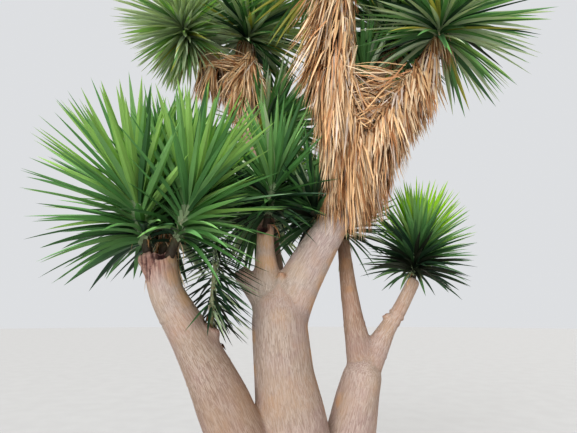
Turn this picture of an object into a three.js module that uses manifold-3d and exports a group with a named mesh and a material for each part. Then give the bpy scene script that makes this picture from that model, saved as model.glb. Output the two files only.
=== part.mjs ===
// A spineless yucca tree with three stems on one swollen foot, as a group of closed solids.
// Millimetres, +Z up, with the origin at the flat cut under the foot. The front faces -Y.
// Each limb is a tapering tube along a smooth line. Each rosette is a short stem with sword
// leaves round it, and each thatch is the sleeve of dead leaves that hangs round a limb.
import * as THREE from "three";
import Module from "manifold-3d";

const wasm = await Module();
wasm.setup();

// Clearances
const SEAM = 0.3; // left between two pieces that meet
const LEAF_ROOM = 9; // between a leaf and whatever is not its own

// The swollen foot: its half widths, the share of them at each height, and its lobes
const FOOT_HALF = [490, 430];
const FOOT_PROFILE = [[0, 0.96], [110, 1], [260, 0.9], [400, 0.73], [530, 0.58], [640, 0.42], [720, 0.24]];
const FOOT_LEAN = [8, 20]; // how far its middle has moved at the last of those heights
const FOOT_LOBES = 5;
const FOOT_LOBE_SHARE = 0.08;
const FOOT_SIDES = 24;

// Limbs: the line that each one follows and its diameter at each point of that line
const LIMB_SIDES = 12;
const RING_SPACING = 150;
const LIMB_SWELL = 0.035;
const DOME = 0.22;
const LIMBS = {
  trunk: {
    route: [
      [10, 10, 260], [-32, 0, 800], [-86, 0, 1100],
      [-108, 0, 1380], [-112, 2, 1490], [-108, 4, 1590],
    ],
    across: [400, 352, 300, 296, 262, 130],
  },
  left_trunk: {
    route: [
      [-95, -50, 330], [-235, -88, 690], [-378, -130, 1001],
      [-529, -190, 1299], [-650, -240, 1524], [-686, -268, 1700],
    ],
    across: [250, 272, 260, 205, 160, 146],
  },
  right_trunk: {
    route: [
      [110, 60, 330], [196, 98, 620], [260, 120, 804],
      [304, 122, 970], [342, 130, 1100], [358, 136, 1200],
    ],
    across: [230, 262, 252, 234, 208, 96],
  },
  inner_stem: {
    route: [[350, 132, 1070], [330, 142, 1215], [304, 158, 1400], [283, 200, 1637], [270, 240, 1850]],
    across: [150, 140, 112, 92, 72],
  },
  outer_stem: {
    route: [[356, 132, 1090], [424, 150, 1219], [490, 162, 1325], [560, 180, 1414], [682, 222, 1610]],
    across: [150, 128, 98, 86, 74],
  },
  main_bough: {
    route: [
      [-82, 2, 1380], [-25, 0, 1528], [99, -40, 1759],
      [174, -70, 1874], [272, -102, 2095], [284, -110, 2210],
    ],
    across: [240, 226, 192, 172, 146, 136],
  },
  middle_limb: {
    route: [[-146, -8, 1420], [-172, -22, 1570], [-183, -36, 1740], [-185, -50, 1885]],
    across: [206, 154, 104, 86],
  },
  back_limb: {
    route: [
      [-122, 50, 1440], [-148, 140, 1620], [-183, 220, 1848],
      [-257, 320, 2258], [-329, 380, 2706], [-384, 425, 3290],
    ],
    across: [150, 130, 122, 118, 114, 102],
  },
  column_limb: {
    route: [[284, -108, 2180], [272, -128, 2360], [242, -152, 2600], [226, -172, 2900], [232, -180, 3470]],
    across: [128, 120, 111, 102, 90],
  },
  right_limb: {
    route: [[286, -108, 2150], [402, -112, 2345], [533, -140, 2540], [775, -192, 2880]],
    across: [120, 112, 102, 88],
  },
  back_right_limb: {
    route: [[275, -120, 2400], [370, 10, 2620], [500, 140, 2880], [622, 235, 3125]],
    across: [100, 98, 92, 84],
  },
  back_left_limb: {
    route: [[-338, 388, 2830], [-430, 405, 3010], [-585, 400, 3150], [-745, 395, 3240]],
    across: [100, 98, 94, 88],
  },
};

// Stubs left by pruned limbs, fused to the limb that bears them
const STUBS = [
  { on: "left_trunk", from: [-655, -242, 1545], to: [-744, -296, 1696], across: [132, 98] },
  { on: "left_trunk", from: [-480, -172, 1190], to: [-424, -180, 1348], across: [150, 70] },
  { on: "trunk", from: [-200, -18, 1490], to: [-322, -52, 1640], across: [128, 80] },
  { on: "trunk", from: [-100, -75, 1490], to: [-96, -112, 1628], across: [95, 42] },
  { on: "outer_stem", from: [535, 172, 1360], to: [478, 150, 1412], across: [66, 34] },
];

// Leaves: sword blades, drawn wider than life because they are fewer
const LEAF_WIDTH = 80;
const LEAF_WIDEST_AT = 0.45;
const LEAF_ROOT_SHARE = 0.16;
const LEAF_THICK_SHARE = 0.012;
const LEAF_FULL_LENGTH = 700; // the leaf length that LEAF_WIDTH goes with; shorter kinds are narrower
const LEAF_SHORTEST_SHARE = 0.9;
const LEAF_OLDEST_SHARE = 0.78; // the length of the oldest leaf, as a share of the youngest's
const LEAF_DROOP = [0.05, 0.5]; // how far the tip of the youngest and the oldest sinks, as a share
const LEAF_NARROWEST = 9; // degrees between the stem and its youngest leaf
const LEAF_ROOT_OUT = 0.45; // how far out of the stem's middle it starts, as a share of the half width
const LEAF_TURN_SPREAD = 0.25;
const LEAF_SAMPLES = 14;
const GOLDEN_ANGLE = Math.PI * (3 - Math.sqrt(5));
const STEM_SIDES = 7;
const STEM_HALF_SHARE = 0.048;
const STEM_TIP_SHARE = 0.72;
const SHORTER_TRIES = [1, 0.8, 0.62]; // a leaf that has no room is tried shorter before it is skipped
const LEAFY_SHARE = 0.62; // the share of a rosette's stem that bears leaves
const ROSETTE_SEED = 101;

// Rosettes: the limb and the place on it (0 to 1) where the stem starts, how far aside of the
// limb's middle that is, the vector from there to the heart, the leaf length, the widest angle
// from the stem in degrees, and the leaves tried
const ROSETTES = {
  left_front_rosette: {
    on: "left_trunk", at: 0.97, aside: [-37, -18, 0], rise: [-88, -40, 310],
    leaf: 630, widest: 106, tries: 46,
  },
  left_inner_rosette: {
    on: "left_trunk", at: 0.97, aside: [35, -14, 0], rise: [126, -30, 312],
    leaf: 640, widest: 106, tries: 46,
  },
  left_back_rosette: {
    on: "left_trunk", at: 0.97, aside: [-2, 44, 0], rise: [-20, 150, 430],
    leaf: 640, widest: 104, tries: 34,
  },
  middle_rosette: {
    on: "middle_limb", at: 0.96, rise: [50, 8, 300],
    leaf: 540, widest: 108, tries: 38,
  },
  bough_shoot: {
    on: "main_bough", at: 0.45, rise: [-45, 95, 280],
    leaf: 480, widest: 145, tries: 36,
  },
  shoulder_shoot: {
    on: "left_trunk", at: 0.5, rise: [60, -6, 470],
    leaf: 300, widest: 140, tries: 44, leafy: 0.9,
  },
  top_rosette: {
    on: "column_limb", at: 0.98, rise: [8, -10, 300],
    leaf: 650, widest: 132, tries: 44,
  },
  top_back_rosette: {
    on: "column_limb", at: 0.9, rise: [-150, 150, 400],
    leaf: 660, widest: 120, tries: 33,
  },
  high_right_rosette: {
    on: "right_limb", at: 0.98, rise: [80, -20, 250],
    leaf: 680, widest: 130, tries: 44, leafy: 0.85,
  },
  back_right_rosette: {
    on: "back_right_limb", at: 0.98, rise: [75, 48, 250],
    leaf: 640, widest: 118, tries: 28,
  },
  back_right_shoot: {
    on: "back_right_limb", at: 0.45, rise: [5, 95, 200],
    leaf: 470, widest: 118, tries: 34, leafy: 0.8,
  },
  back_left_rosette: {
    on: "back_left_limb", at: 0.97, rise: [-90, -110, 190],
    leaf: 510, widest: 128, tries: 31,
  },
  upper_back_rosette: {
    on: "back_limb", at: 0.98, rise: [58, -20, 275],
    leaf: 620, widest: 115, tries: 29,
  },
  rear_rosette: {
    on: "back_limb", at: 0.7, rise: [150, 265, 350],
    leaf: 600, widest: 118, tries: 28,
  },
  low_rear_rosette: {
    on: "back_limb", at: 0.45, rise: [-110, 230, 200],
    leaf: 540, widest: 115, tries: 28,
  },
  outer_right_rosette: {
    on: "outer_stem", at: 0.97, rise: [62, 20, 232],
    leaf: 420, widest: 102, tries: 32, leafy: 0.8,
  },
  inner_right_rosette: {
    on: "inner_stem", at: 0.97, rise: [12, 38, 135],
    leaf: 450, widest: 120, tries: 28,
  },
};

// Thatch: the stretches of limb that each sleeve is round, its outer half width and how far its
// dead leaves hang below their roots (both read along it), and how many leaves stand out of its
// core. A sleeve may lean: towards one side its leaves reach further, by lean's length as a share
const STRIP_WIDTH = 58;
const STRIP_THICK_SHARE = 0.02;
const STRIP_WIDEST_AT = 0.5;
const STRIP_BEND = 0.62; // the share of its length over which a dead leaf turns down
const STRIP_ROOT_OUT = 0.7; // where it starts, as a share of the core's half width
const STRIP_STEEPEST = 0.45; // none starts on the part of the core that faces further up than this
const STRIP_ROOM = 2;
const CORE_SHARE = 0.62;
const CORE_SIDES = 12;
const CORE_PLEAT = 0.8; // every second corner lies this share as far out
const CORE_RING_SPACING = 170;
const THATCH_SPACING = 130; // between the points that its middle line is drawn through
const THATCH_SEED = 907;
const THATCHES = {
  column_thatch: {
    along: [["main_bough", 0.86, 0.94], ["column_limb", 0.14, 0.96]],
    half: [86, 112, 124, 126, 130, 118],
    hang: [300, 380, 390, 380, 370, 330],
    tries: 54,
    sag: 1,
    lean: [-1.2, -0.25],
  },
  right_thatch: {
    along: [["right_limb", 0.16, 0.95]],
    half: [80, 104, 110, 104],
    hang: [420, 280, 240, 270],
    tries: 46,
    sag: 2.2,
  },
  back_thatch: {
    along: [["back_limb", 0.78, 0.97]],
    half: [84, 130, 105],
    hang: [240, 280, 270],
    tries: 20,
    sag: 1.2,
  },
  back_left_thatch: {
    along: [["back_left_limb", 0.16, 0.9]],
    half: [90, 112, 100],
    hang: [190, 180, 170],
    tries: 13,
    sag: 1.3,
  },
};

const BARK = { color: 0xc9a98c, roughness: 0.9, metalness: 0 };
const GREEN = { color: 0x4f8a2e, roughness: 0.5, metalness: 0 };
const STRAW = { color: 0xb98a5a, roughness: 0.85, metalness: 0 };

function seededRandom(seed) {
  let state = seed >>> 0;
  return () => {
    state = (state + 0x6d2b79f5) >>> 0;
    let t = state;
    t = Math.imul(t ^ (t >>> 15), t | 1);
    t ^= t + Math.imul(t ^ (t >>> 7), t | 61);
    return ((t ^ (t >>> 14)) >>> 0) / 4294967296;
  };
}

const vec = (a) => new THREE.Vector3(...a);
const mix = (a, b, t) => a + (b - a) * t;

function valueAlong(list, t) {
  const place = Math.min(Math.max(t, 0), 1) * (list.length - 1);
  const i = Math.min(Math.floor(place), list.length - 2);
  return mix(list[i], list[i + 1], place - i);
}

// A closed solid from rings of equal point count, with a point closing each end
function solidFromRings(rings, startPoint, endPoint) {
  const sides = rings[0].length;
  const points = [...rings.flat(), startPoint, endPoint];
  const start = points.length - 2;
  const end = points.length - 1;
  const triangles = [];
  for (let r = 0; r < rings.length - 1; r++) {
    for (let s = 0; s < sides; s++) {
      const a = r * sides + s;
      const b = r * sides + ((s + 1) % sides);
      triangles.push(a, b, b + sides, a, b + sides, a + sides);
    }
  }
  const last = (rings.length - 1) * sides;
  for (let s = 0; s < sides; s++) {
    const next = (s + 1) % sides;
    triangles.push(start, next, s);
    triangles.push(end, last + s, last + next);
  }
  return solidFromTriangles(points, triangles);
}

function solidFromTriangles(points, triangles) {
  const positions = new Float32Array(points.flatMap((p) => [p.x, p.y, p.z]));
  const make = (order) => {
    const triVerts = new Uint32Array(order);
    return new wasm.Manifold(new wasm.Mesh({ numProp: 3, vertProperties: positions, triVerts }));
  };
  const made = make(triangles);
  if (made.volume() > 0) return made;
  return make([...triangles].reverse());
}

// Two unit vectors square to each tangent of a line, carried along it without twist
function carriedFrames(tangents) {
  const frames = [];
  let side = new THREE.Vector3(1, 0, 0);
  if (Math.abs(tangents[0].x) > 0.9) side.set(0, 1, 0);
  for (const tangent of tangents) {
    side = side.clone().addScaledVector(tangent, -side.dot(tangent)).normalize();
    frames.push([side, tangent.clone().cross(side).normalize()]);
  }
  return frames;
}

function roundOf(u, v, angle) {
  return u.clone().multiplyScalar(Math.cos(angle)).addScaledVector(v, Math.sin(angle));
}

// A closed tube along a line, larger by grow on all sides, with ends that dome a little
function tubeSolid(line, halfAt, sides, rings, grow = 0, swell = 0) {
  const stations = Array.from({ length: rings + 1 }, (_, i) => i / rings);
  const tangents = stations.map((t) => line.getTangent(t));
  const frames = carriedFrames(tangents);
  const loops = stations.map((t, i) => {
    const outwards = i === 0 ? -grow : i === rings ? grow : 0;
    const centre = line.getPoint(t).addScaledVector(tangents[i], outwards);
    const [u, v] = frames[i];
    return Array.from({ length: sides }, (_, s) => {
      const angle = (2 * Math.PI * s) / sides;
      const wave = 1 + swell * Math.sin(2 * angle + 7 * t) + 0.6 * swell * Math.sin(3 * angle - 11 * t);
      const half = halfAt(t) * wave + grow;
      return centre.clone().addScaledVector(roundOf(u, v, angle), half);
    });
  });
  const startPoint = line.getPoint(0).addScaledVector(tangents[0], -halfAt(0) * DOME - grow);
  const endPoint = line.getPoint(1).addScaledVector(tangents.at(-1), halfAt(1) * DOME + grow);
  return solidFromRings(loops, startPoint, endPoint);
}

// Limbs
const limbLines = {};
for (const [name, limb] of Object.entries(LIMBS)) {
  const curve = new THREE.CatmullRomCurve3(limb.route.map(vec), false, "centripetal");
  limbLines[name] = {
    curve,
    length: curve.getLength(),
    half: (t) => valueAlong(limb.across, t) / 2,
  };
}

function limbTube(name, grow = 0) {
  const { curve, length, half } = limbLines[name];
  const rings = Math.max(3, Math.round(length / RING_SPACING));
  let solid = tubeSolid(curve, half, LIMB_SIDES, rings, grow, LIMB_SWELL);
  for (const stub of STUBS.filter((s) => s.on === name)) {
    const line = new THREE.LineCurve3(vec(stub.from), vec(stub.to));
    solid = solid.add(tubeSolid(line, (t) => valueAlong(stub.across, t) / 2, LIMB_SIDES - 4, 2, grow));
  }
  if (name === "trunk") solid = solid.add(footSolid(grow));
  return solid;
}

// The foot: lobed rings that are widest just above the ground and draw in to where the stems part
function footSolid(grow) {
  const height = FOOT_PROFILE.at(-1)[0];
  const loops = FOOT_PROFILE.map(([z, share], r) => {
    const t = z / height;
    const lobe = FOOT_LOBE_SHARE * (1 - t);
    return Array.from({ length: FOOT_SIDES }, (_, s) => {
      const angle = (2 * Math.PI * s) / FOOT_SIDES;
      const wave = 1 + lobe * Math.sin(FOOT_LOBES * angle + 0.8) + 0.4 * lobe * Math.sin(2 * angle + 2);
      const x = (FOOT_HALF[0] * share * wave + grow) * Math.cos(angle) + FOOT_LEAN[0] * t;
      const y = (FOOT_HALF[1] * share * wave + grow) * Math.sin(angle) + FOOT_LEAN[1] * t;
      return new THREE.Vector3(x, y, r ? z + grow : z);
    });
  });
  const top = new THREE.Vector3(...FOOT_LEAN, height + 20 + grow);
  return solidFromRings(loops, new THREE.Vector3(0, 0, 0), top);
}

// Cutting can leave scraps, which are dropped
function largestPiece(solid) {
  return solid.decompose().sort((a, b) => b.volume() - a.volume())[0];
}

// Each limb is cut clear of those that were made before it
const limbSolids = {};
const MEETS = {
  left_trunk: ["trunk"],
  right_trunk: ["trunk", "left_trunk"],
  inner_stem: ["right_trunk"],
  outer_stem: ["right_trunk", "inner_stem"],
  main_bough: ["trunk"],
  middle_limb: ["trunk", "main_bough"],
  back_limb: ["trunk", "main_bough", "middle_limb"],
  column_limb: ["main_bough"],
  right_limb: ["main_bough", "column_limb"],
  back_right_limb: ["column_limb", "right_limb"],
  back_left_limb: ["back_limb"],
};
for (const name of Object.keys(LIMBS)) {
  let solid = limbTube(name);
  for (const other of MEETS[name] ?? []) solid = solid.subtract(limbTube(other, SEAM));
  limbSolids[name] = largestPiece(solid);
}

// What a leaf must stay clear of: balls strung along every limb, stem and thatch
const BALL_SPACING = 28;
function ballsAlong(line, halfAt, owner) {
  const count = Math.ceil(line.getLength() / BALL_SPACING);
  return Array.from({ length: count + 1 }, (_, i) => i / count).map((u) => ({
    at: line.getPoint(u),
    half: halfAt(u),
    u,
    owner,
  }));
}
const limbBalls = Object.entries(limbLines).flatMap(([name, l]) => ballsAlong(l.curve, l.half, name));
for (const stub of STUBS) {
  const line = new THREE.LineCurve3(vec(stub.from), vec(stub.to));
  limbBalls.push(...ballsAlong(line, (t) => valueAlong(stub.across, t) / 2, stub.on));
}

const rosettePlans = Object.entries(ROSETTES).map(([name, r]) => {
  const foot = limbLines[r.on].curve.getPoint(r.at).add(vec(r.aside ?? [0, 0, 0]));
  const heart = foot.clone().add(vec(r.rise));
  const half = STEM_HALF_SHARE * r.leaf;
  return { name, ...r, foot, heart, half, line: new THREE.LineCurve3(foot, heart) };
});
function stemTube(plan, grow = 0) {
  return tubeSolid(plan.line, (t) => plan.half * mix(1, STEM_TIP_SHARE, t), STEM_SIDES, 2, grow);
}
const stemBalls = rosettePlans.flatMap((r) => ballsAlong(r.line, () => r.half, r.name));

const thatchPlans = Object.entries(THATCHES).map(([name, t]) => {
  const points = t.along.flatMap(([limb, from, to]) => {
    const { curve, length } = limbLines[limb];
    const steps = Math.max(1, Math.round((length * (to - from)) / THATCH_SPACING));
    return Array.from({ length: steps + 1 }, (_, i) => curve.getPoint(mix(from, to, i / steps)));
  });
  const line = new THREE.CatmullRomCurve3(points, false, "centripetal");
  return {
    name,
    ...t,
    line,
    halfAt: (u) => valueAlong(t.half, u),
    hangAt: (u) => valueAlong(t.hang, u),
    leanAt: (u) => vec([...(t.lean ?? [0, 0]), 0]).multiplyScalar(Math.sin(Math.PI * u)),
  };
});

// A thatch's balls lie along its middle line and below it, where its leaves hang, and again on
// the side that it leans to
const THATCH_DROPS = [0, 0.3, 0.6, 0.9];
const THATCH_NARROWING = 0.35;
const thatchBalls = thatchPlans.flatMap((t) =>
  THATCH_DROPS.flatMap((drop) => {
    const row = ballsAlong(t.line, (u) => t.halfAt(u) * (1 - THATCH_NARROWING * drop), t.name);
    return [0, 1].flatMap((aside) =>
      row.map((b) => {
        const at = b.at.clone().addScaledVector(t.leanAt(b.u), aside * b.half);
        return { ...b, at: at.setZ(at.z - drop * t.hangAt(b.u)) };
      }),
    );
  }),
);

function clearOf(point, room, balls) {
  return balls.every((b) => b.at.distanceTo(point) > b.half + room);
}

// A rosette keeps to its own cell: the side of each halfway plane that its heart is on
function inOwnCell(point, room, own) {
  return rosettePlans.every((other) => {
    if (other === own) return true;
    const across = other.heart.clone().sub(own.heart);
    const gap = across.length();
    const share = own.leaf / (own.leaf + other.leaf);
    return point.clone().sub(own.heart).dot(across.divideScalar(gap)) < gap * share - room;
  });
}

// A blade with a flat face and a keel: a root section, sections along it and a point
function bladeSolid(pointAt, width, thick, sections) {
  const stations = [0, ...sections.map((s) => s[0])];
  const shares = [LEAF_ROOT_SHARE, ...sections.map((s) => s[1])];
  const points = [];
  for (const [i, t] of stations.entries()) {
    const here = pointAt(t);
    const along = pointAt(t + 0.02).sub(here).normalize();
    const side = pointAt.side.clone().addScaledVector(along, -pointAt.side.dot(along)).normalize();
    const keel = side.clone().cross(along).normalize();
    const half = (width * shares[i]) / 2;
    points.push(
      here.clone().addScaledVector(side, half).addScaledVector(keel, thick * 0.4),
      here.clone().addScaledVector(side, -half).addScaledVector(keel, thick * 0.4),
      here.clone().addScaledVector(keel, -thick * 0.6),
    );
  }
  const tip = points.push(pointAt(1)) - 1;
  const triangles = [0, 2, 1];
  for (let r = 0; r < stations.length - 1; r++) {
    for (let s = 0; s < 3; s++) {
      const a = r * 3 + s;
      const b = r * 3 + ((s + 1) % 3);
      triangles.push(a, b, b + 3, a, b + 3, a + 3);
    }
  }
  const last = (stations.length - 1) * 3;
  for (let s = 0; s < 3; s++) triangles.push(last + s, last + ((s + 1) % 3), tip);
  return solidFromTriangles(points, triangles);
}

// The line of one leaf: straight out of the stem, then bending down under its own weight. The
// length is the distance from its root to its tip
function leafLine(root, direction, length, droop) {
  const scale = length / direction.clone().add(new THREE.Vector3(0, 0, -droop)).length();
  const pointAt = (t) =>
    root
      .clone()
      .addScaledVector(direction, scale * t)
      .add(new THREE.Vector3(0, 0, -droop * scale * t * t));
  pointAt.side = direction.clone().cross(new THREE.Vector3(0, 0, 1));
  if (pointAt.side.length() < 0.05) pointAt.side.set(1, 0, 0);
  pointAt.side.normalize();
  return pointAt;
}

function leafFits(pointAt, plan, others) {
  return Array.from({ length: LEAF_SAMPLES }, (_, i) => (i + 1) / LEAF_SAMPLES).every((t) => {
    const point = pointAt(t);
    const share = Math.min(t / LEAF_WIDEST_AT, (1 - t) / (1 - LEAF_WIDEST_AT));
    const room = (LEAF_WIDTH / 2) * share + LEAF_ROOM;
    return clearOf(point, room, others) && inOwnCell(point, room, plan) && point.z > LEAF_ROOM;
  });
}

function rosetteSolid(plan, index) {
  const random = seededRandom(ROSETTE_SEED + index);
  const up = plan.heart.clone().sub(plan.foot).normalize();
  const [u, v] = carriedFrames([up])[0];
  const others = [...limbBalls, ...stemBalls.filter((b) => b.owner !== plan.name), ...thatchBalls];
  const narrow = Math.cos(THREE.MathUtils.degToRad(LEAF_NARROWEST));
  const wide = Math.cos(THREE.MathUtils.degToRad(plan.widest));
  const width = LEAF_WIDTH * Math.sqrt(plan.leaf / LEAF_FULL_LENGTH);
  let solid = stemTube(plan);
  for (let k = 0; k < plan.tries; k++) {
    const age = (k + 0.5) / plan.tries;
    const turn = GOLDEN_ANGLE * k + LEAF_TURN_SPREAD * (random() - 0.5);
    const cosine = mix(narrow, wide, age);
    const sine = Math.sqrt(1 - cosine * cosine);
    const direction = up.clone().multiplyScalar(cosine).addScaledVector(roundOf(u, v, turn), sine);
    const root = plan.line.getPoint(mix(0.97, 1 - (plan.leafy ?? LEAFY_SHARE), age));
    root.addScaledVector(direction, LEAF_ROOT_OUT * plan.half);
    const full = plan.leaf * mix(1, LEAF_SHORTEST_SHARE, random()) * mix(1, LEAF_OLDEST_SHARE, age);
    const droop = mix(...LEAF_DROOP, age ** 3) * sine;
    const lines = SHORTER_TRIES.map((share) => leafLine(root, direction, full * share, droop));
    const pointAt = lines.find((line) => leafFits(line, plan, others));
    if (!pointAt) continue;
    solid = solid.add(bladeSolid(pointAt, width, LEAF_THICK_SHARE * full, [[LEAF_WIDEST_AT, 1]]));
  }
  return largestPiece(solid.subtract(limbTube(plan.on, SEAM)));
}

// The core of a thatch: a sleeve round the limbs, drawn downwards where the limb lies over
function coreSolid(plan, grow = 0) {
  const rings = Math.max(3, Math.round(plan.line.getLength() / CORE_RING_SPACING));
  const stations = Array.from({ length: rings + 1 }, (_, i) => i / rings);
  const tangents = stations.map((t) => plan.line.getTangent(t));
  const frames = carriedFrames(tangents);
  const loops = stations.map((t, i) =>
    Array.from({ length: CORE_SIDES }, (_, s) => {
      const out = roundOf(...frames[i], (2 * Math.PI * s) / CORE_SIDES);
      const half = plan.halfAt(t) * CORE_SHARE * (1 + (plan.sag - 1) * Math.max(0, -out.z) ** 2);
      const pleat = s % 2 ? CORE_PLEAT : 1;
      return plan.line.getPoint(t).addScaledVector(out, half * pleat + grow);
    }),
  );
  const startPoint = plan.line.getPoint(0).addScaledVector(tangents[0], -grow);
  const endPoint = plan.line.getPoint(1).addScaledVector(tangents.at(-1), grow);
  return solidFromRings(loops, startPoint, endPoint);
}

// The line of one dead leaf: out of the core, over, and straight down
function stripLine(root, out, reach, length) {
  const outwards = new THREE.Vector3(out.x, out.y, 0);
  const pointAt = (s) =>
    root
      .clone()
      .addScaledVector(outwards, reach * Math.sin(Math.min(s / STRIP_BEND, 1) * (Math.PI / 2)))
      .add(new THREE.Vector3(0, 0, -length * s));
  pointAt.side = new THREE.Vector3(-out.y, out.x, 0.001).normalize();
  return pointAt;
}

function stripFits(pointAt, rivals) {
  return Array.from({ length: LEAF_SAMPLES }, (_, i) => (i + 3) / (LEAF_SAMPLES + 2)).every((s) => {
    const point = pointAt(s);
    return clearOf(point, STRIP_WIDTH * 0.4, limbBalls) && clearOf(point, STRIP_WIDTH * 0.5, rivals);
  });
}

// The same blade a little larger, which has to stay out of every other thatch
function stripGuard(pointAt, thick) {
  const longer = (s) => pointAt(s * (1 + STRIP_ROOM / 100));
  longer.side = pointAt.side;
  return bladeSolid(longer, STRIP_WIDTH + 2 * STRIP_ROOM, thick + 2 * STRIP_ROOM, [[STRIP_WIDEST_AT, 1]]);
}

function thatchSolid(plan, index, placed) {
  const random = seededRandom(THATCH_SEED + index);
  const others = thatchPlans.filter((t) => t !== plan);
  const rivals = others.flatMap((t) => ballsAlong(t.line, (u) => t.halfAt(u) * CORE_SHARE, t.name));
  const keptOut = [...placed, ...others.map((t) => coreSolid(t))];
  let solid = coreSolid(plan);
  for (const earlier of thatchPlans.slice(0, index)) solid = solid.subtract(coreSolid(earlier, 2 * SEAM));
  for (let k = 0; k < plan.tries; k++) {
    const t = (k + 0.5) / plan.tries;
    const [u, v] = carriedFrames([plan.line.getTangent(t)])[0];
    const out = roundOf(u, v, GOLDEN_ANGLE * k);
    const shorter = mix(0.75, 1, random());
    const nearer = mix(0.6, 1, random());
    if (out.z > STRIP_STEEPEST) continue;
    const start = plan.halfAt(t) * CORE_SHARE * STRIP_ROOT_OUT;
    const root = plan.line.getPoint(t).addScaledVector(out, start);
    const length = plan.hangAt(t) * shorter;
    const further = 1 + Math.max(0, out.dot(plan.leanAt(t)));
    const reach = (plan.halfAt(t) * further - start) * nearer;
    const pointAt = stripLine(root, out, reach, length);
    if (!stripFits(pointAt, rivals)) continue;
    const thick = STRIP_THICK_SHARE * length;
    const guard = stripGuard(pointAt, thick);
    if (keptOut.some((other) => other.intersect(guard).volume() > 0)) continue;
    solid = solid.add(bladeSolid(pointAt, STRIP_WIDTH, thick, [[STRIP_WIDEST_AT, 1]]));
  }
  for (const name of Object.keys(LIMBS)) solid = solid.subtract(limbTube(name, SEAM));
  for (const rosette of rosettePlans) solid = solid.subtract(stemTube(rosette, SEAM));
  return largestPiece(solid);
}

// The group
const tree = new THREE.Group();
tree.name = "yucca_tree";

function addMesh(name, solid, look) {
  const mesh = solid.getMesh();
  const geometry = new THREE.BufferGeometry();
  geometry.setAttribute("position", new THREE.BufferAttribute(new Float32Array(mesh.vertProperties), 3));
  geometry.setIndex(new THREE.BufferAttribute(new Uint32Array(mesh.triVerts), 1));
  geometry.computeVertexNormals();
  const made = new THREE.Mesh(geometry, new THREE.MeshStandardMaterial({ ...look, flatShading: true }));
  made.name = name;
  tree.add(made);
}

for (const [name, solid] of Object.entries(limbSolids)) addMesh(name, solid, BARK);

const thatchSolids = [];
for (const [index, plan] of thatchPlans.entries()) {
  const solid = thatchSolid(plan, index, thatchSolids);
  thatchSolids.push(solid);
  addMesh(plan.name, solid, STRAW);
}

for (const [index, plan] of rosettePlans.entries()) {
  addMesh(plan.name, rosetteSolid(plan, index), GREEN);
}

export default tree;
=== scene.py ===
"""A spineless yucca tree: bark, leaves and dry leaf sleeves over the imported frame, in metres, +Z up."""

import math

import bpy
import numpy as np
from bpy.props import FloatProperty, FloatVectorProperty, PointerProperty
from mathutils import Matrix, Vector, noise


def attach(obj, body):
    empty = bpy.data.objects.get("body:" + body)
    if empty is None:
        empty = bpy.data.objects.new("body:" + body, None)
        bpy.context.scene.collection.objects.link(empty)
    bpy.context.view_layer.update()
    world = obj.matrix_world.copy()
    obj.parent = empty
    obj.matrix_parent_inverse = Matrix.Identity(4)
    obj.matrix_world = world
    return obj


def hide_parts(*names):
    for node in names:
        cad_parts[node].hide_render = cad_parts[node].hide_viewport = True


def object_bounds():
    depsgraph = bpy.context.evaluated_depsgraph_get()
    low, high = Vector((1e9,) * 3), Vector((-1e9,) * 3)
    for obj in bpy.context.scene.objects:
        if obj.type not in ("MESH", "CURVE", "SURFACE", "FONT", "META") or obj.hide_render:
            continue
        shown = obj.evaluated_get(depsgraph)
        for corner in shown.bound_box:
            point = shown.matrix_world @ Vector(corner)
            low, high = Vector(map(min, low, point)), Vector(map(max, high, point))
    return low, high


bl_info = {
    "name": "Spineless Yucca Tree",
    "version": (1, 0, 0),
    "blender": (4, 5, 0),
    "location": "3D View > Sidebar > Yucca",
    "description": "Builds the bark, the leaves and the dry leaf sleeves of a multi-stemmed yucca tree",
    "category": "Object",
}

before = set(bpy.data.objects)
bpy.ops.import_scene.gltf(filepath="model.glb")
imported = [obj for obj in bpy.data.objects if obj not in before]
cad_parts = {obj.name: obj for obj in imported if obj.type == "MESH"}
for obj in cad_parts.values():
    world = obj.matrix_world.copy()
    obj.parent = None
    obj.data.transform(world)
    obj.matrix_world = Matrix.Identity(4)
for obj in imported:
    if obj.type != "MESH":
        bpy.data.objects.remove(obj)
CAD_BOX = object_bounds()

# Smooth lines: the step that gives their direction, the places that give their length, and how
# near to X a direction is when its first side is taken from Y
DIRECTION_STEP, LENGTH_PLACES, NEAR_X = 0.001, 200, 0.9

# The foot: its half widths, the share of them at each height and how far its middle moves
FOOT_HALF = (0.490, 0.430)
FOOT_PROFILE = [(0, 0.96), (0.11, 1), (0.26, 0.9), (0.40, 0.73), (0.53, 0.58), (0.64, 0.42), (0.72, 0.24)]
FOOT_LEAN = (0.008, 0.020)
# Its lobes, which fade upwards, as waves round it: how many, where they start and their strength
FOOT_LOBE_SHARE = 0.08
FOOT_WAVES = [(5, 0.8, 1), (2, 2, 0.4)]
FOOT_SIDES, FOOT_RINGS, FOOT_PLACES = 110, 60, 120
FOOT_CAP = 0.02

# How a limb swells, as waves round it: how many, how they turn along it and their strength
LIMB_SWELL = 0.035
SWELL_WAVES = [(2, 7, 1), (3, -11, 0.6)]
LIMB_SIDES, LIMB_RING_STEP = 44, 0.014
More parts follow.
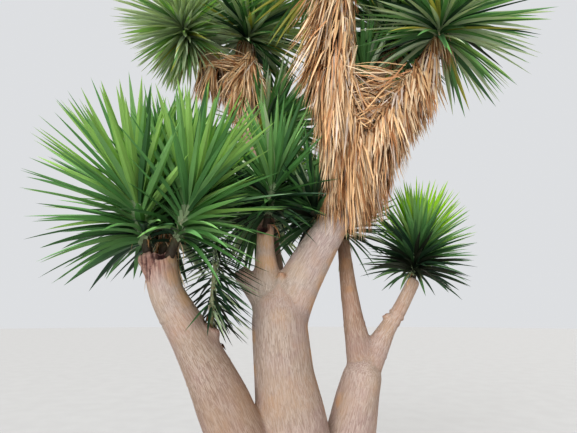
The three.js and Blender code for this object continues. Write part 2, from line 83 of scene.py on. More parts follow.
# The limbs: the line that each one follows and its diameter at each point of that line
LIMBS = {
    "trunk": (
        [(0.010, 0.010, 0.260), (-0.032, 0, 0.800), (-0.086, 0, 1.100),
         (-0.108, 0, 1.380), (-0.112, 0.002, 1.490), (-0.108, 0.004, 1.590)],
        [0.400, 0.352, 0.300, 0.296, 0.262, 0.130],
    ),
    "left_trunk": (
        [(-0.095, -0.050, 0.330), (-0.235, -0.088, 0.690), (-0.378, -0.130, 1.001),
         (-0.529, -0.190, 1.299), (-0.650, -0.240, 1.524), (-0.686, -0.268, 1.700)],
        [0.250, 0.272, 0.260, 0.205, 0.160, 0.146],
    ),
    "right_trunk": (
        [(0.110, 0.060, 0.330), (0.196, 0.098, 0.620), (0.260, 0.120, 0.804),
         (0.304, 0.122, 0.970), (0.342, 0.130, 1.100), (0.358, 0.136, 1.200)],
        [0.230, 0.262, 0.252, 0.234, 0.208, 0.096],
    ),
    "inner_stem": (
        [(0.350, 0.132, 1.070), (0.330, 0.142, 1.215), (0.304, 0.158, 1.400),
         (0.283, 0.200, 1.637), (0.270, 0.240, 1.850)],
        [0.150, 0.140, 0.112, 0.092, 0.072],
    ),
    "outer_stem": (
        [(0.356, 0.132, 1.090), (0.424, 0.150, 1.219), (0.490, 0.162, 1.325),
         (0.560, 0.180, 1.414), (0.682, 0.222, 1.610)],
        [0.150, 0.128, 0.098, 0.086, 0.074],
    ),
    "main_bough": (
        [(-0.082, 0.002, 1.380), (-0.025, 0, 1.528), (0.099, -0.040, 1.759),
         (0.174, -0.070, 1.874), (0.272, -0.102, 2.095), (0.284, -0.110, 2.210)],
        [0.240, 0.226, 0.192, 0.172, 0.146, 0.136],
    ),
    "middle_limb": (
        [(-0.146, -0.008, 1.420), (-0.172, -0.022, 1.570), (-0.183, -0.036, 1.740), (-0.185, -0.050, 1.885)],
        [0.206, 0.154, 0.104, 0.086],
    ),
    "back_limb": (
        [(-0.122, 0.050, 1.440), (-0.148, 0.140, 1.620), (-0.183, 0.220, 1.848),
         (-0.257, 0.320, 2.258), (-0.329, 0.380, 2.706), (-0.384, 0.425, 3.290)],
        [0.150, 0.130, 0.122, 0.118, 0.114, 0.102],
    ),
    "column_limb": (
        [(0.284, -0.108, 2.180), (0.272, -0.128, 2.360), (0.242, -0.152, 2.600),
         (0.226, -0.172, 2.900), (0.232, -0.180, 3.470)],
        [0.128, 0.120, 0.111, 0.102, 0.090],
    ),
    "right_limb": (
        [(0.286, -0.108, 2.150), (0.402, -0.112, 2.345), (0.533, -0.140, 2.540), (0.775, -0.192, 2.880)],
        [0.120, 0.112, 0.102, 0.088],
    ),
    "back_right_limb": (
        [(0.275, -0.120, 2.400), (0.370, 0.010, 2.620), (0.500, 0.140, 2.880), (0.622, 0.235, 3.125)],
        [0.100, 0.098, 0.092, 0.084],
    ),
    "back_left_limb": (
        [(-0.338, 0.388, 2.830), (-0.430, 0.405, 3.010), (-0.585, 0.400, 3.150), (-0.745, 0.395, 3.240)],
        [0.100, 0.098, 0.094, 0.088],
    ),
}
UPPER_LIMBS = ("column_limb", "right_limb", "back_right_limb", "back_left_limb")
LOWER_LIMBS = tuple(name for name in LIMBS if name not in UPPER_LIMBS)

STUB_SIDES, STUB_RINGS = 32, 12
# Stubs of pruned limbs: where each starts and ends, and its diameter there
STUBS = [
    ((-0.655, -0.242, 1.545), (-0.744, -0.296, 1.696), (0.132, 0.098)),
    ((-0.480, -0.172, 1.190), (-0.424, -0.180, 1.348), (0.150, 0.070)),
    ((-0.200, -0.018, 1.490), (-0.322, -0.052, 1.640), (0.128, 0.080)),
    ((-0.100, -0.075, 1.490), (-0.096, -0.112, 1.628), (0.095, 0.034)),
    ((0.535, 0.172, 1.360), (0.478, 0.150, 1.412), (0.066, 0.034)),
]

# Round each cut: how far its tearing reaches, the step into its face and the rim of its hole
CUT_OUT, CUT_DOWN, CUT_UP = 1.8, 1.6, 0.06
CUT_FACE = (-0.016, -0.004)
CUT_HOLE = (0.30, 0.80)
TORN_FROM = 0.5
SHALLOW_CUT, SHALLOW_DARKNESS = 0.01, 0.4
# Cut ends: the middle of the face, the way it faces, its radius, how deep it has rotted, how far
# down the bark is torn and how much
CUTS = [
    ((-0.686, -0.268, 1.712), (-0.10, -0.12, 0.98), 0.073, 0.040, 0.030, 0.8),
    ((-0.744, -0.296, 1.708), (-0.45, -0.26, 0.85), 0.049, 0.010, 0.130, 1.0),
    ((-0.424, -0.180, 1.352), (0.33, -0.05, 0.94), 0.035, 0.022, 0.020, 0.6),
    ((-0.322, -0.052, 1.645), (-0.60, -0.17, 0.78), 0.040, 0.008, 0.060, 0.4),
    ((-0.096, -0.112, 1.632), (0.03, -0.26, 0.96), 0.019, 0.004, 0.030, 0.6),
    ((0.478, 0.150, 1.415), (-0.69, -0.27, 0.67), 0.017, 0.004, 0.010, 0.5),
    ((-0.200, -0.082, 1.858), (-0.30, -0.76, 0.57), 0.058, 0.020, 0.020, 0.9),
    ((-0.656, -0.328, 1.684), (0.12, -0.76, 0.63), 0.054, 0.026, 0.018, 0.8),
]
# The crevices lie in front of this Y; the share of their half width that is their floor, where
# along their length they are shallow, and how dark the shade painted into them is
CREVICE_FRONT = -0.270
CREVICE_FLOOR = 0.3
CREVICE_FADE = (0.15, 0.85)
CREVICE_PAINTED_SHADE = 0.9
# Crevices in the front of the left trunk's top: where each starts and ends, its half width and depth
CREVICES = [
    ((-0.712, 1.716), (-0.680, 1.628), 0.008, 0.016),
    ((-0.730, 1.690), (-0.727, 1.570), 0.009, 0.014),
    ((-0.752, 1.680), (-0.748, 1.610), 0.006, 0.007),
    ((-0.705, 1.640), (-0.712, 1.560), 0.006, 0.006),
]
# The share of a warm patch that is fully warm, and the radii between which thin limbs grow warm
WARM_HEART = 0.35
THIN_LIMB = (0.072, 0.045)
THIN_LIMB_WARMTH = 0.5
# Where the bark is smooth and warm: the middle of each patch and its radius
WARM_PATCHES = [
    ((-0.585, -0.300, 1.600), 0.085), ((-0.605, -0.310, 1.680), 0.080), ((-0.540, -0.270, 1.500), 0.070),
    ((-0.185, -0.070, 1.810), 0.110), ((-0.185, -0.070, 1.680), 0.080),
    ((0.245, -0.080, 1.830), 0.075), ((0.170, -0.050, 1.710), 0.080), ((0.115, -0.035, 1.580), 0.075),
    ((0.070, -0.020, 1.460), 0.075), ((0.040, -0.020, 1.340), 0.060), ((0.045, -0.020, 1.200), 0.055),
    ((0.055, -0.020, 1.060), 0.050), ((-0.096, -0.112, 1.620), 0.055), ((-0.245, -0.030, 1.300), 0.055),
    ((-0.240, -0.030, 1.140), 0.050), ((-0.235, -0.040, 0.900), 0.110), ((0.110, 0.010, 0.950), 0.080),
    ((0.200, 0.070, 0.980), 0.050), ((0.285, 0.110, 1.560), 0.060), ((0.270, 0.160, 1.700), 0.060),
]
# Painted shade on the bark: how dark it is, read along each limb, and on the limbs that the crown hides
BARK_PAINTED_SHADE = {
    "trunk": (0.7, 0.45, 0.1), "left_trunk": (0.9, 1, 0.95, 0.6, 0.1, -0.2), "right_trunk": (0.55, 0.5, 0.4),
    "inner_stem": (0.8, 1, 1), "outer_stem": (0.4, 0.3, 0.2), "main_bough": (0.05, 0),
    "middle_limb": (0, -0.35), "foot": (0.6, 0.5),
}
HIDDEN_LIMB_PAINTED_SHADE = (0.9, 0.9)
# How far the painted shade is blurred over the skin
PAINTED_SHADE_SMOOTHING = 60
# A ring scar's ridge, and the groove below it with its share of the ridge's height
SCAR_RIDGE, SCAR_GROOVE, SCAR_GROOVE_BELOW, SCAR_GROOVE_SHARE = 0.007, 0.006, 0.014, 0.7
SCAR_REACH = 1.5
# Ring scars: a point on the limb's line, the way the limb runs, its radius there and the ring's height
SCARS = [
    ((0.556, 0.179, 1.408), (0.60, 0.18, 0.78), 0.043, 0.0060),
    ((0.528, 0.172, 1.368), (0.45, 0.18, 0.86), 0.046, 0.0030),
    ((0.420, 0.149, 1.213), (0.56, 0.13, 0.82), 0.064, 0.0025),
    ((-0.595, -0.217, 1.422), (-0.50, -0.20, 0.84), 0.09, 0.0025),
    ((-0.448, -0.158, 1.139), (-0.46, -0.18, 0.87), 0.116, 0.0018),
    ((0.310, 0.154, 1.360), (-0.14, 0.09, 0.98), 0.058, 0.0012),
]

# The bark's relief as layers of noise: how fine each is along the three axes, its seed and its height
BARK_THICKNESS = 0.0012
LUMPS = [((4, 4, 2), 1, 0.05)]
FLUTES = [((26, 26, 2.4), 2, 0.0013), ((60, 60, 7), 3, 0.0007), ((3, 3, 48), 4, 0.0006)]
SPLINTERS = [((70, 70, 35), 5, 0.0035), ((55, 55, 12.1), 6, 0.005)]
SCAR_WANDER = [(14, 7, 0.004)]
CREVICE_WANDER = [(60, 8, 0.003)]
WARM_WANDER = [(22, 9, 0.02)]
NOISE_SEED_STEP = 17.3
SKIN_SMOOTHING = 12
GROUND_BAND = 0.008
# Guides that tell which limb a vertex is on: how many places each has and how far off they matter
GUIDE_PLACES = 90
GUIDE_REACH = 1.5
GUIDE_SLACK = 0.03
GUIDE_BATCH = 8000
THINNEST_FOOT = 0.02
USUAL_RADIUS = 0.1

# Leaves: their lengths as shares of the rosette's, by age, and how far they droop
LEAF_FULL_LENGTH = 0.700
LEAF_SHORTEST_SHARE = 0.9
LEAF_OLDEST_SHARE = 0.78
LEAF_YOUNGEST_SHARE, LEAF_YOUNG_UNTIL = 0.72, 0.08
LEAF_DROOP = (0.04, 0.36)
LEAF_DROOP_SPREAD = (0.6, 1.4)
LEAF_NARROWEST = math.radians(9)
LEAF_CROWDING = 1.15
# Where leaves grow on the stem
LEAF_ROOT_OUT = 0.42
LEAF_ROOT_TOP, LEAF_TIP_REACH = 0.9, 0.97
LEAF_SHEATH = 0.075
# How far single leaves stray: in turn, direction, roll, bend and width
LEAF_TURN_SPREAD = 0.25
LEAF_STRAY, LEAF_ROLL, LEAF_BEND = 0.05, 0.35, 0.04
LEAF_WIDTHS = (0.8, 1.1)
STEEPEST_SIDE = 0.05
# Along a blade: places and the width, the fold and the thickness there
LEAF_OUTLINE = ((0, 0.07, 0.18, 0.38, 0.55, 0.74, 0.88, 1), (0.66, 0.46, 0.55, 1, 0.93, 0.62, 0.33, 0))
LEAF_FOLD = ((0, 0.2, 0.6, 1), (0.8, 0.62, 0.48, 0.4))
LEAF_THICKNESS = ((0, 0.3, 1), (0.0042, 0.0024, 0.0012))
LEAF_STATIONS, LEAF_PROBES = 9, 14
LEAF_ROOT_POINT = 0.002
LEAF_EDGE = math.radians(28)
# Round a blade's section: how far across each point is, and its shares of the fold and the thickness
LEAF_SECTION = [(-1, 1, 0), (-0.5, 0.42, 0.2), (0, 0, 0.25), (0.5, 0.42, 0.2), (1, 1, 0), (0, 0, -1)]
# Rosettes that grow another way: their narrowest angle, and how crowded their young leaves are
HABITS = {"shoulder_shoot": (math.radians(106), 1), "back_left_rosette": (LEAF_NARROWEST, 0.75)}
# A stem that starts beyond this place stands on its limb's end, and near it leaves may come closer
END_PLACE, END_REACH, END_SHARE = 0.9, 0.10, 0.6
# The room that leaves keep from limbs, as a base and a share of their width, how much of the dry
# sleeves they keep clear of, and how far they may pass the halfway planes and the box
LEAF_ROOM, LEAF_ROOM_SHARE = 0.004, 0.25
SLEEVE_SHARE = 0.75
CELL_SLACK = 0.16
BOX_SLACK = 0.03
SHORTER_TRIES = (1, 0.8, 0.62)
GOLDEN_ANGLE = math.pi * (3 - math.sqrt(5))
BALL_SPACING = 0.028
# The green stems: their half width, their collars and how far they are clear of the dark foot
STEM_HALF_SHARE = 0.036
STEM_TIP_SHARE = 0.7
STEM_THINNEST = 0.016
STEM_TOP = LEAF_ROOT_TOP - 0.16
STEM_SIDES, STEM_FEWEST_RINGS, STEM_RING_STEP = 20, 24, 0.009
COLLAR_HEIGHT, COLLARS_PER_M, COLLAR_SHARPNESS = 0.0022, 150, 0.5
STEMS_CLEAR_OF_DARK_FOOT = {"shoulder_shoot": 0.2}
ROSETTE_SEED = 131

# Rosettes: the limb and the place on it where the stem starts, the vector from there to the heart,
# the leaf length, the widest angle in degrees, the share of the stem that bears leaves, the leaves
# tried, how wide they are and the mix of greens
ROSETTES = {
    "left_front_rosette": ("left_trunk", 0.97, (-0.078, -0.036, 0.31), 0.63, 93, 0.86, 225, 0.92, "sunny"),
    "left_inner_rosette": ("left_trunk", 0.97, (0.114, -0.026, 0.312), 0.64, 97, 0.86, 225, 0.92, "sunny"),
    "left_back_rosette": ("left_trunk", 0.97, (-0.02, 0.15, 0.43), 0.64, 98, 0.8, 280, 0.9, "middling"),
    "middle_rosette": ("middle_limb", 0.96, (0.05, 0.008, 0.3), 0.54, 104, 0.8, 180, 0.9, "middling"),
    "bough_shoot": ("main_bough", 0.45, (-0.045, 0.095, 0.28), 0.48, 160, 0.9, 300, 0.8, "gloomy"),
    "shoulder_shoot": ("left_trunk", 0.5, (0.035, -0.01, 0.69), 0.29, 132, 0.97, 260, 0.5, "dim"),
    "top_rosette": ("column_limb", 0.98, (0.008, -0.01, 0.3), 0.65, 146, 0.85, 260, 0.72, "turning"),
    "top_back_rosette": ("column_limb", 0.9, (-0.15, 0.15, 0.4), 0.66, 142, 0.85, 340, 0.72, "turning"),
    "high_right_rosette": ("right_limb", 0.98, (0.08, -0.02, 0.25), 0.68, 145, 0.95, 330, 0.62, "olive"),
    "back_right_rosette": ("back_right_limb", 0.98, (0.075, 0.048, 0.25), 0.64, 130, 0.85, 260, 0.8, "shady"),
    "back_right_shoot": ("back_right_limb", 0.45, (0.005, 0.095, 0.2), 0.47, 130, 0.9, 240, 0.85, "shady"),
    "back_left_rosette": ("back_left_limb", 0.97, (-0.09, -0.11, 0.19), 0.51, 158, 0.95, 560, 0.7, "pale"),
    "upper_back_rosette": ("back_limb", 0.98, (0.058, -0.02, 0.275), 0.62, 145, 0.95, 520, 0.8, "bluish"),
    "rear_rosette": ("back_limb", 0.7, (0.15, 0.265, 0.35), 0.6, 132, 0.9, 340, 0.95, "shady"),
    "low_rear_rosette": ("back_limb", 0.45, (-0.11, 0.23, 0.2), 0.54, 160, 0.95, 380, 0.9, "shady"),
    "outer_right_rosette": ("outer_stem", 0.97, (0.062, 0.02, 0.265), 0.44, 91, 0.85, 250, 0.8, "glowing"),
    "inner_right_rosette": ("inner_stem", 0.97, (0.012, 0.038, 0.135), 0.45, 120, 0.8, 130, 0.7, "shady"),
}
# How far aside of the limb's middle the stems start that share its end
STEM_ASIDE = {
    "left_front_rosette": (-0.047, -0.022, 0), "left_inner_rosette": (0.047, -0.018, 0),
    "left_back_rosette": (-0.002, 0.044, 0),
}
# Air that leaves have been cleared out of, as balls: in front of the cut ends
CLEARINGS = [
    ((-0.700, -0.330, 1.660), 0.085), ((-0.690, -0.420, 1.640), 0.095), ((-0.660, -0.400, 1.500), 0.110),
    ((-0.690, -0.520, 1.640), 0.105), ((-0.640, -0.520, 1.480), 0.120),
    ((-0.580, -0.420, 1.600), 0.110), ((-0.520, -0.360, 1.500), 0.110), ((-0.500, -0.480, 1.420), 0.120),
    ((-0.450, -0.320, 1.600), 0.090), ((-0.560, -0.560, 1.540), 0.120),
    ((-0.185, -0.130, 1.840), 0.055), ((-0.180, -0.220, 1.820), 0.065), ((-0.170, -0.200, 1.700), 0.070),
    ((-0.800, -0.580, 1.930), 0.125), ((-0.545, -0.570, 1.930), 0.125), ((-0.800, -0.760, 1.950), 0.140),
    ((-0.545, -0.750, 1.950), 0.140), ((-0.135, -0.270, 2.100), 0.090), ((-0.135, -0.420, 2.080), 0.110),
    ((-0.150, -0.300, 1.770), 0.090), ((-0.200, -0.330, 1.690), 0.085),
]

# The dry sleeves' dark cores, the packed dead leaves at the limb painted near black as shade: their share of
# the sleeve's half width, and how lumpy they are
CORE_SHARE = 0.434
CORE_RINGS, CORE_SIDES = 46, 30
CORE_LUMPS = (0.86, 1.1)
CORE_STRIPES = 40
# The sleeves as balls: how far down they are repeated, as shares of the hang, ever narrower
THATCH_SPACING = 0.130
THATCH_DROPS = (0, 0.3, 0.6, 0.9)
THATCH_NARROWING = 0.35
# Tufts of dead leaves: how many leaves each has, how far a tuft sways, and ranges of how far it
# reaches out, hangs and comes back in
STRIPS_IN_TUFT = (10, 22)
TUFT_SWAY = 0.1
TUFT_REACH, TUFT_HANG, TUFT_BACK = (0.8, 1.12), (0.75, 1.12), (0.2, 0.75)
TUFT_OUTWARD = 0.7
TUFT_TONE_SHARE = 0.4
# How far the leaves of a tuft stray from its middle: along the limb, round it and in depth
TUFT_SPREAD = (0.03, 0.30, 0.12)
# Single dead leaves: those that start on top are mostly left out, and the way of one that starts
# straight up is drawn by lot
STRIP_PLACES = np.linspace(0, 1, 7)
STRIP_STEEPEST, STEEP_KEPT = 0.45, 0.35
FLAT_LEAST, FLAT_DRAWN = 0.2, 0.5
STRIP_ROOT_OUT = 0.4
STRIP_DEPTHS = (0.55, 1.0)
STRIP_REACH, STRIP_HANG, STRIP_SHOULDER = (0.85, 1.1), (0.7, 1.1), (0.12, 0.3)
STRIP_SWAY = 0.018
STRIP_ROOM, STRIP_ROOM_OUTSIDE = 0.006, 0.014
STRIP_WIDTHS = (0.55, 1.3)
STRIP_TILT = 0.05
RIPPLES, RIPPLE_PHASES, RIPPLE_HEIGHT, RIPPLE_WAY = (2, 5), (0, 6), 0.0025, (1, 0.6, 0)
# How dead leaves stand out from the side that a sleeve leans to
SPLAY_AT = 0.85
SPLAY_SPREAD = 0.15
SPLAY_REACH = 0.27
LEAN_SHIFT = 0.022
# Painted light: how much paler the dead leaves grow toward a sleeve's top, as if sunlit
PAINTED_SUNLIGHT = 0.3
THATCH_SEED = 907
# Along a dead leaf: places and the width there; how it twists, curls and how thick it is
STRIP_OUTLINE = ((0, 0.3, 0.6, 0.85, 1), (0.55, 1, 0.85, 0.4, 0))
STRIP_TWIST, STRIP_TURN = 0.5, 0.45
STRIP_CURL = (0.1, 0.55)
STRIP_THICKNESS = 0.0007
STRIP_SECTION = [(-1, -1, 0), (0, 0, 1), (1, -1, 0), (0, -0.25, -1)]
STRIP_EDGE = math.radians(70)
# Dry sleeves: the stretches of limb that each is round, its outer half widths and how far its
# leaves hang, both read along it, how much further the core sags under a slanting limb, the way
# that it leans and the number of tufts of dead leaves
THATCHES = {
    "column_thatch": (
        [("main_bough", 0.86, 0.94), ("column_limb", 0.14, 0.96)], [0.086, 0.112, 0.124, 0.126, 0.130, 0.118],
        [0.300, 0.380, 0.390, 0.380, 0.370, 0.330], 1, (-1.2, -0.25), 250,
    ),
    "right_thatch": (
        [("right_limb", 0.16, 0.95)], [0.080, 0.104, 0.110, 0.104],
        [0.420, 0.280, 0.240, 0.270], 2.2, (0, 0), 175,
    ),
    "back_thatch": (
        [("back_limb", 0.78, 0.97)], [0.084, 0.130, 0.105], [0.130, 0.230, 0.260], 1.2, (0, 0), 30,
    ),
    "back_left_thatch": (
        [("back_left_limb", 0.16, 0.9)], [0.085, 0.095, 0.085], [0.250, 0.280, 0.340], 1.3, (0, 0), 50,
    ),
}

# Dead leaves that lie level between two places: the side they lie on, and for each kind the
# ranges of their length, their paleness and their width, and the room they keep from limbs
LYING_SIDE = (0.1, 0.3, 1.0)
FALLEN_KIND = ((0.7, 1), (0.5, 1), (0.6, 1.1), None)
CAUGHT_KIND = ((0.5, 1), (0.2, 0.9), (0.5, 0.9), 0.010)
# Those fallen across the gap beside the column: a limb, the stretch of it, and how far aside, to
# the front or back and above it they start, then the same for where they end
FALLEN_STRIPS = 260
FALLEN_FROM = ("column_limb", (0.26, 0.62), (0.0, 0.1), (-0.15, 0.03), 0)
FALLEN_TO = ("right_limb", (0.30, 0.80), (-0.08, 0.02), (-0.13, 0.06), 0.06)
FALLEN_FORWARD, FALLEN_SAG = (-0.04, 0.02), (-0.06, 0.03)
# Those caught beside the fan: where they start and end, and the spread of both places
CAUGHT_STRIPS = 60
CAUGHT_FROM, CAUGHT_FROM_SPREAD = (-0.360, 0.300, 3.070), (0.03, 0.02, 0.035)
CAUGHT_TO, CAUGHT_TO_SPREAD = (-0.640, 0.290, 3.090), (0.05, 0.02, 0.040)
CAUGHT_FORWARD, CAUGHT_SAG = -0.03, (-0.02, 0.03)
# The fan of dead leaves on the back limb: where it starts, how far each leaf swings from straight
# down (the mean and its spread in radians), how much shorter those that swing far are, their
# ranges of length, forward slant, paleness and width, and how they bend down
FAN_STRIPS = 130
FAN_ROOT, FAN_ROOT_SPREAD = (-0.330, 0.335, 3.130), 0.022
FAN_SWING, FAN_NARROWING = (-0.10, 0.45), 1.3
FAN_LENGTH, FAN_FORWARD, FAN_TONES, FAN_WIDTHS = (0.24, 0.42), (0.1, 0.6), (0.6, 1), (0.6, 1.0)
FAN_BEND = 0.1
FAN_ROOM = 0.010
# Dead leaves at the rosettes' feet: the rosettes with many, then for many and for few how many
# there are, the range of the side they are on in half turns, of their length as a share of the
# green leaves' and of how far they stand out
LITTERED = (
    "top_rosette", "high_right_rosette", "back_left_rosette", "upper_back_rosette", "back_right_rosette",
    "left_back_rosette",
)
MANY_LITTER = (130, (-1, 1), (0.12, 0.34), (0.2, 0.6))
FEW_LITTER = (6, (-0.35, 1.35), (0.06, 0.22), (0.3, 1.1))
LITTER_PLACES, LITTER_TONES, LITTER_WIDTHS = (0.02, 0.5), (0.1, 1), (0.6, 1.1)
LITTER_ROOT_OUT, LITTER_ARCH, LITTER_OUT_SHARE, LITTER_FALL = 0.7, 1.6, 0.6, 1.5
FALLEN_SEED, FAN_SEED, LITTER_SEED = THATCH_SEED + 40, THATCH_SEED + 60, THATCH_SEED + 80

# Greens, from the youngest to the oldest, then the greyish one and the one that has turned
GREENS = {
    # Partly painted light: the lit-through green of backlit young leaves
    "leaf_glow": (0.430, 0.720, 0.050),
    "leaf_lime": (0.370, 0.590, 0.190),
    "leaf_bright": (0.255, 0.475, 0.185),
    "leaf_mid": (0.155, 0.350, 0.125),
    "leaf_deep": (0.085, 0.200, 0.080),
    "leaf_blue": (0.042, 0.096, 0.052),
    # Painted shade: the green of leaves in deep shadow
    "leaf_dusk": (0.040, 0.052, 0.030),
    "leaf_sage": (0.510, 0.620, 0.455),
    "leaf_aged": (0.500, 0.510, 0.130),
}
LEAF_ROOT_GREEN = (0.34, 0.43, 0.26)
# The age from which leaves may have turned
TURNED_AGE = 0.55
# Painted light and shade on a backlit rosette: how much darker the greens of the leaves on its front are, and
# brighter those at its back
FRONT_PAINTED_SHADE = {"glowing": 1.9}
# Painted shade at a blade's root, as deep in a crown: how much darker the root is, where it isn't the
# usual share; the glowing green's root is darkest, for a backlit rosette's shaded heart
USUAL_ROOT_PAINTED_SHADE = 0.25
ROOT_PAINTED_SHADE = {"leaf_glow": 0.95, "leaf_sage": 0, "leaf_aged": 0}
# Mixes of greens: how far along them each starts and ends, the shares of its leaves that are
# greyish and of its older ones that have turned, how far single leaves stray, and its youngest green
# Painted light and shade: the sunny mix has brighter greens for a crown in light, the shady, gloomy and dim
# ones darker greens for crowns in shade
GREEN_MIXES = {
    "sunny": (0.8, 4.0, 0, 0, 0.95, 1), "middling": (1.9, 4.7, 0.05, 0, 0.8, 1),
    "shady": (2.2, 4.9, 0.24, 0.05, 0.95, 1), "gloomy": (3.4, 5.6, 0.10, 0, 0.9, 1),
    "bluish": (2.2, 4.6, 0.55, 0.05, 1.1, 1), "dim": (4.7, 6.5, 0.14, 0, 0.8, 1),
    "turning": (0.2, 2.6, 0.05, 0.50, 0.8, 1), "olive": (1.6, 4.3, 0.40, 0.05, 0.95, 1),
    "pale": (0.1, 1.9, 0.82, 0.14, 0.8, 1), "glowing": (-1.7, 6.0, 0, 0, 1.0, 0),
}
STRAWS = {
    "straw_pale": (0.800, 0.625, 0.440),
    "straw_gold": (0.720, 0.485, 0.280),
    "straw_orange": (0.590, 0.325, 0.175),
    "straw_brown": (0.290, 0.135, 0.060),
    "straw_grey": (0.680, 0.570, 0.500),
    # Near black, painted shade: the sleeves' cores and some dead leaves deep in them
    "straw_dark": (0.060, 0.028, 0.012),
}
# The shares of the straw colours at the outside of a sleeve and at its limb
STRAW_MIX_OUT = (0.38, 0.32, 0.15, 0.05, 0.10, 0)
STRAW_MIX_IN = (0.10, 0.20, 0.28, 0.26, 0.04, 0.12)

# The bark's cracks and streaks: how fine they are across and along a limb, and how they wander
SOFT_STREAKS = {"Across": 70.0, "Along": 9.0}
WIDE_CRACKS = {"Across": 100.0, "Along": 10.0, "Wander": 0.9}
FINE_CRACKS = {"Across": 150.0, "Along": 13.0, "Wander": 1.0}
CRACK_SWAY = {"Scale": 0.8, "Detail": 2.0}
# Clouds of noise: how fine they are, how many finer layers they have and how rough these are
STREAK_CLOUDS, BROAD_CLOUDS = (1.0, 3.0), (5.0, 4.0)
PATCH_CLOUDS, SPECK_CLOUDS = (2.3, 5.0, 0.6), (160.0, 3.0)
VEIN_CLOUDS, MOTTLE_CLOUDS, BAND_CLOUDS, FLOOR_CLOUDS = (1.0, 2.0), (1.0, 3.0), (60.0, 3.0), (3.0, 8.0)
# Bumps: their strength and their depth
BARK_BUMP, BLADE_BUMP, STEM_BUMP, FLOOR_BUMP = (0.6, 0.003), (0.25, 0.0008), (0.6, 0.002), (0.1, 0.002)
BARK_GLOSS = 0.25
# Where each feature of the bark begins and is complete in its noise, and its strength at both
BARK_RAMPS = {
    "tan": (0.38, 0.62, 0, 1), "clean": (0.40, 0.60, 1, 0.45), "rim": (0.05, 0.15, 1, 0),
    "crack": (0.02, 0.09, 1, 0), "warm": (0.50, 0.70, 0, 0.5), "plate": (0.2, 1.0, 0, 0.18),
    "streak": (0.46, 0.30, 0, 0.16), "speck": (0.62, 0.74, 0, 0.35), "raw": (0.38, 0.60, 0, 1),
    "dent": (0, 0.06, 1, 0), "rough": (0.3, 0.7, 0.72, 0.9),
}
SMOOTH_WARMTH = 0.65
WARM_STRENGTH, RIM_STRENGTH, CRACK_STRENGTH, TORN_STRENGTH, HOLLOW_STRENGTH = 0.85, 0.60, 0.40, 0.75, 0.95
# How much streaks, fine cracks, wide cracks, specks and torn splinters count in the bark's height
STREAK_HEIGHT, CRACK_DEPTH, DENT_DEPTH, SPECK_HEIGHT, TORN_HEIGHT = 0.6, 0.35, 0.3, 0.15, 2.0
# The colour that the painted shade multiplies the bark by
PAINTED_SHADE_TINT = (0.74, 0.66, 0.60, 1)
SPECK_BROWN = (0.26, 0.16, 0.11, 1)
RAW_DARK, RAW_PALE = (0.30, 0.115, 0.085, 1), (0.66, 0.40, 0.32, 1)
# The dark brown of rot in the cut ends; in the crevices it is painted shade
HOLLOW_BROWN = (0.040, 0.010, 0.016, 1)
# A blade's veins and mottles: how fine they are, and what they do to its colour, then the tint and reach of
# the painted shade at its root
VEIN_SCALE, MOTTLE_SCALE = (9.0, 3.0, 40.0), (0.5, 5.0, 60.0)
VEIN_TINT, MOTTLE_TINT, PAINTED_ROOT_TINT = (1.5, 1.45, 1.3, 1), (0.62, 0.66, 0.7, 1), (0.14, 0.20, 0.22, 1)
VEIN_RAMP, MOTTLE_RAMP = (0.35, 0.65), (0.4, 0.7)
PAINTED_ROOT_RAMP, BLADE_ROUGHNESS = (0.06, 0.30, 1, 0), (0.3, 0.7, 0.36, 0.58)
GLOW_TINT = (1.7, 1.5, 0.45, 1)
# How veined and mottled green leaves, their roots and dead leaves are, and how both last ones glow
LEAF_LOOK, LEAF_ROOT_LOOK, STRAW_LOOK = (0.35, 0.35), (0.2, 0.3), (0.5, 0.5)
LEAF_ROOT_GLOW, STRAW_GLOW, STRAW_GLOSS = 0.1, 0.08, 0.1
STEM_STREAKS = {"Across": 150.0, "Along": 40.0}
STEM_DARK, STEM_PALE, STEM_BROWN = (0.14, 0.17, 0.08, 1), (0.30, 0.32, 0.19, 1), (0.30, 0.19, 0.10, 1)
# The stems' dark foot: the brown of dead leaf bases, with painted shade where the stems sink among the leaves
STEM_FOOT_BROWN_AND_SHADE = (0.045, 0.022, 0.018, 1)
STEM_RAMP, BAND_RAMP, STEM_FOOT_RAMP = (0.35, 0.65), (0.5, 0.68, 0, 0.7), (0.03, 0.15, 0.9, 0)
STEM_ROUGHNESS = (0.3, 0.7, 0.5, 0.75)

# The stage: the floor, and for each light its way, its spread in degrees and its colour
FLOOR_RADIUS, FLOOR_SIDES = 60, 96
FLOOR_DARKER = 0.96
FLOOR_RAMP, FLOOR_ROUGHNESS = (0.3, 0.7), 0.9
LIGHTS = {
    "front": ((-0.30, -1.0, 0.45), 45, (0.95, 0.98, 1)),
    "top": ((-0.50, -0.40, 1.30), 8, (1, 0.98, 0.95)),
    "back": ((0.75, 0.50, 1.10), 8, (1, 0.95, 0.88)),
}
LIGHT_DISTANCE = 5
SENSOR_WIDTH = 36


def mix(a, b, t):
    return a + (b - a) * t


def along(values, t):
    return np.interp(t, np.linspace(0, 1, len(values)), values)


def smooth(low, high, x):
    t = np.clip((x - low) / (high - low), 0, 1)
    return t * t * (3 - 2 * t)


def unit(v):
    v = np.asarray(v, float)
    return v / np.linalg.norm(v, axis=-1, keepdims=True)


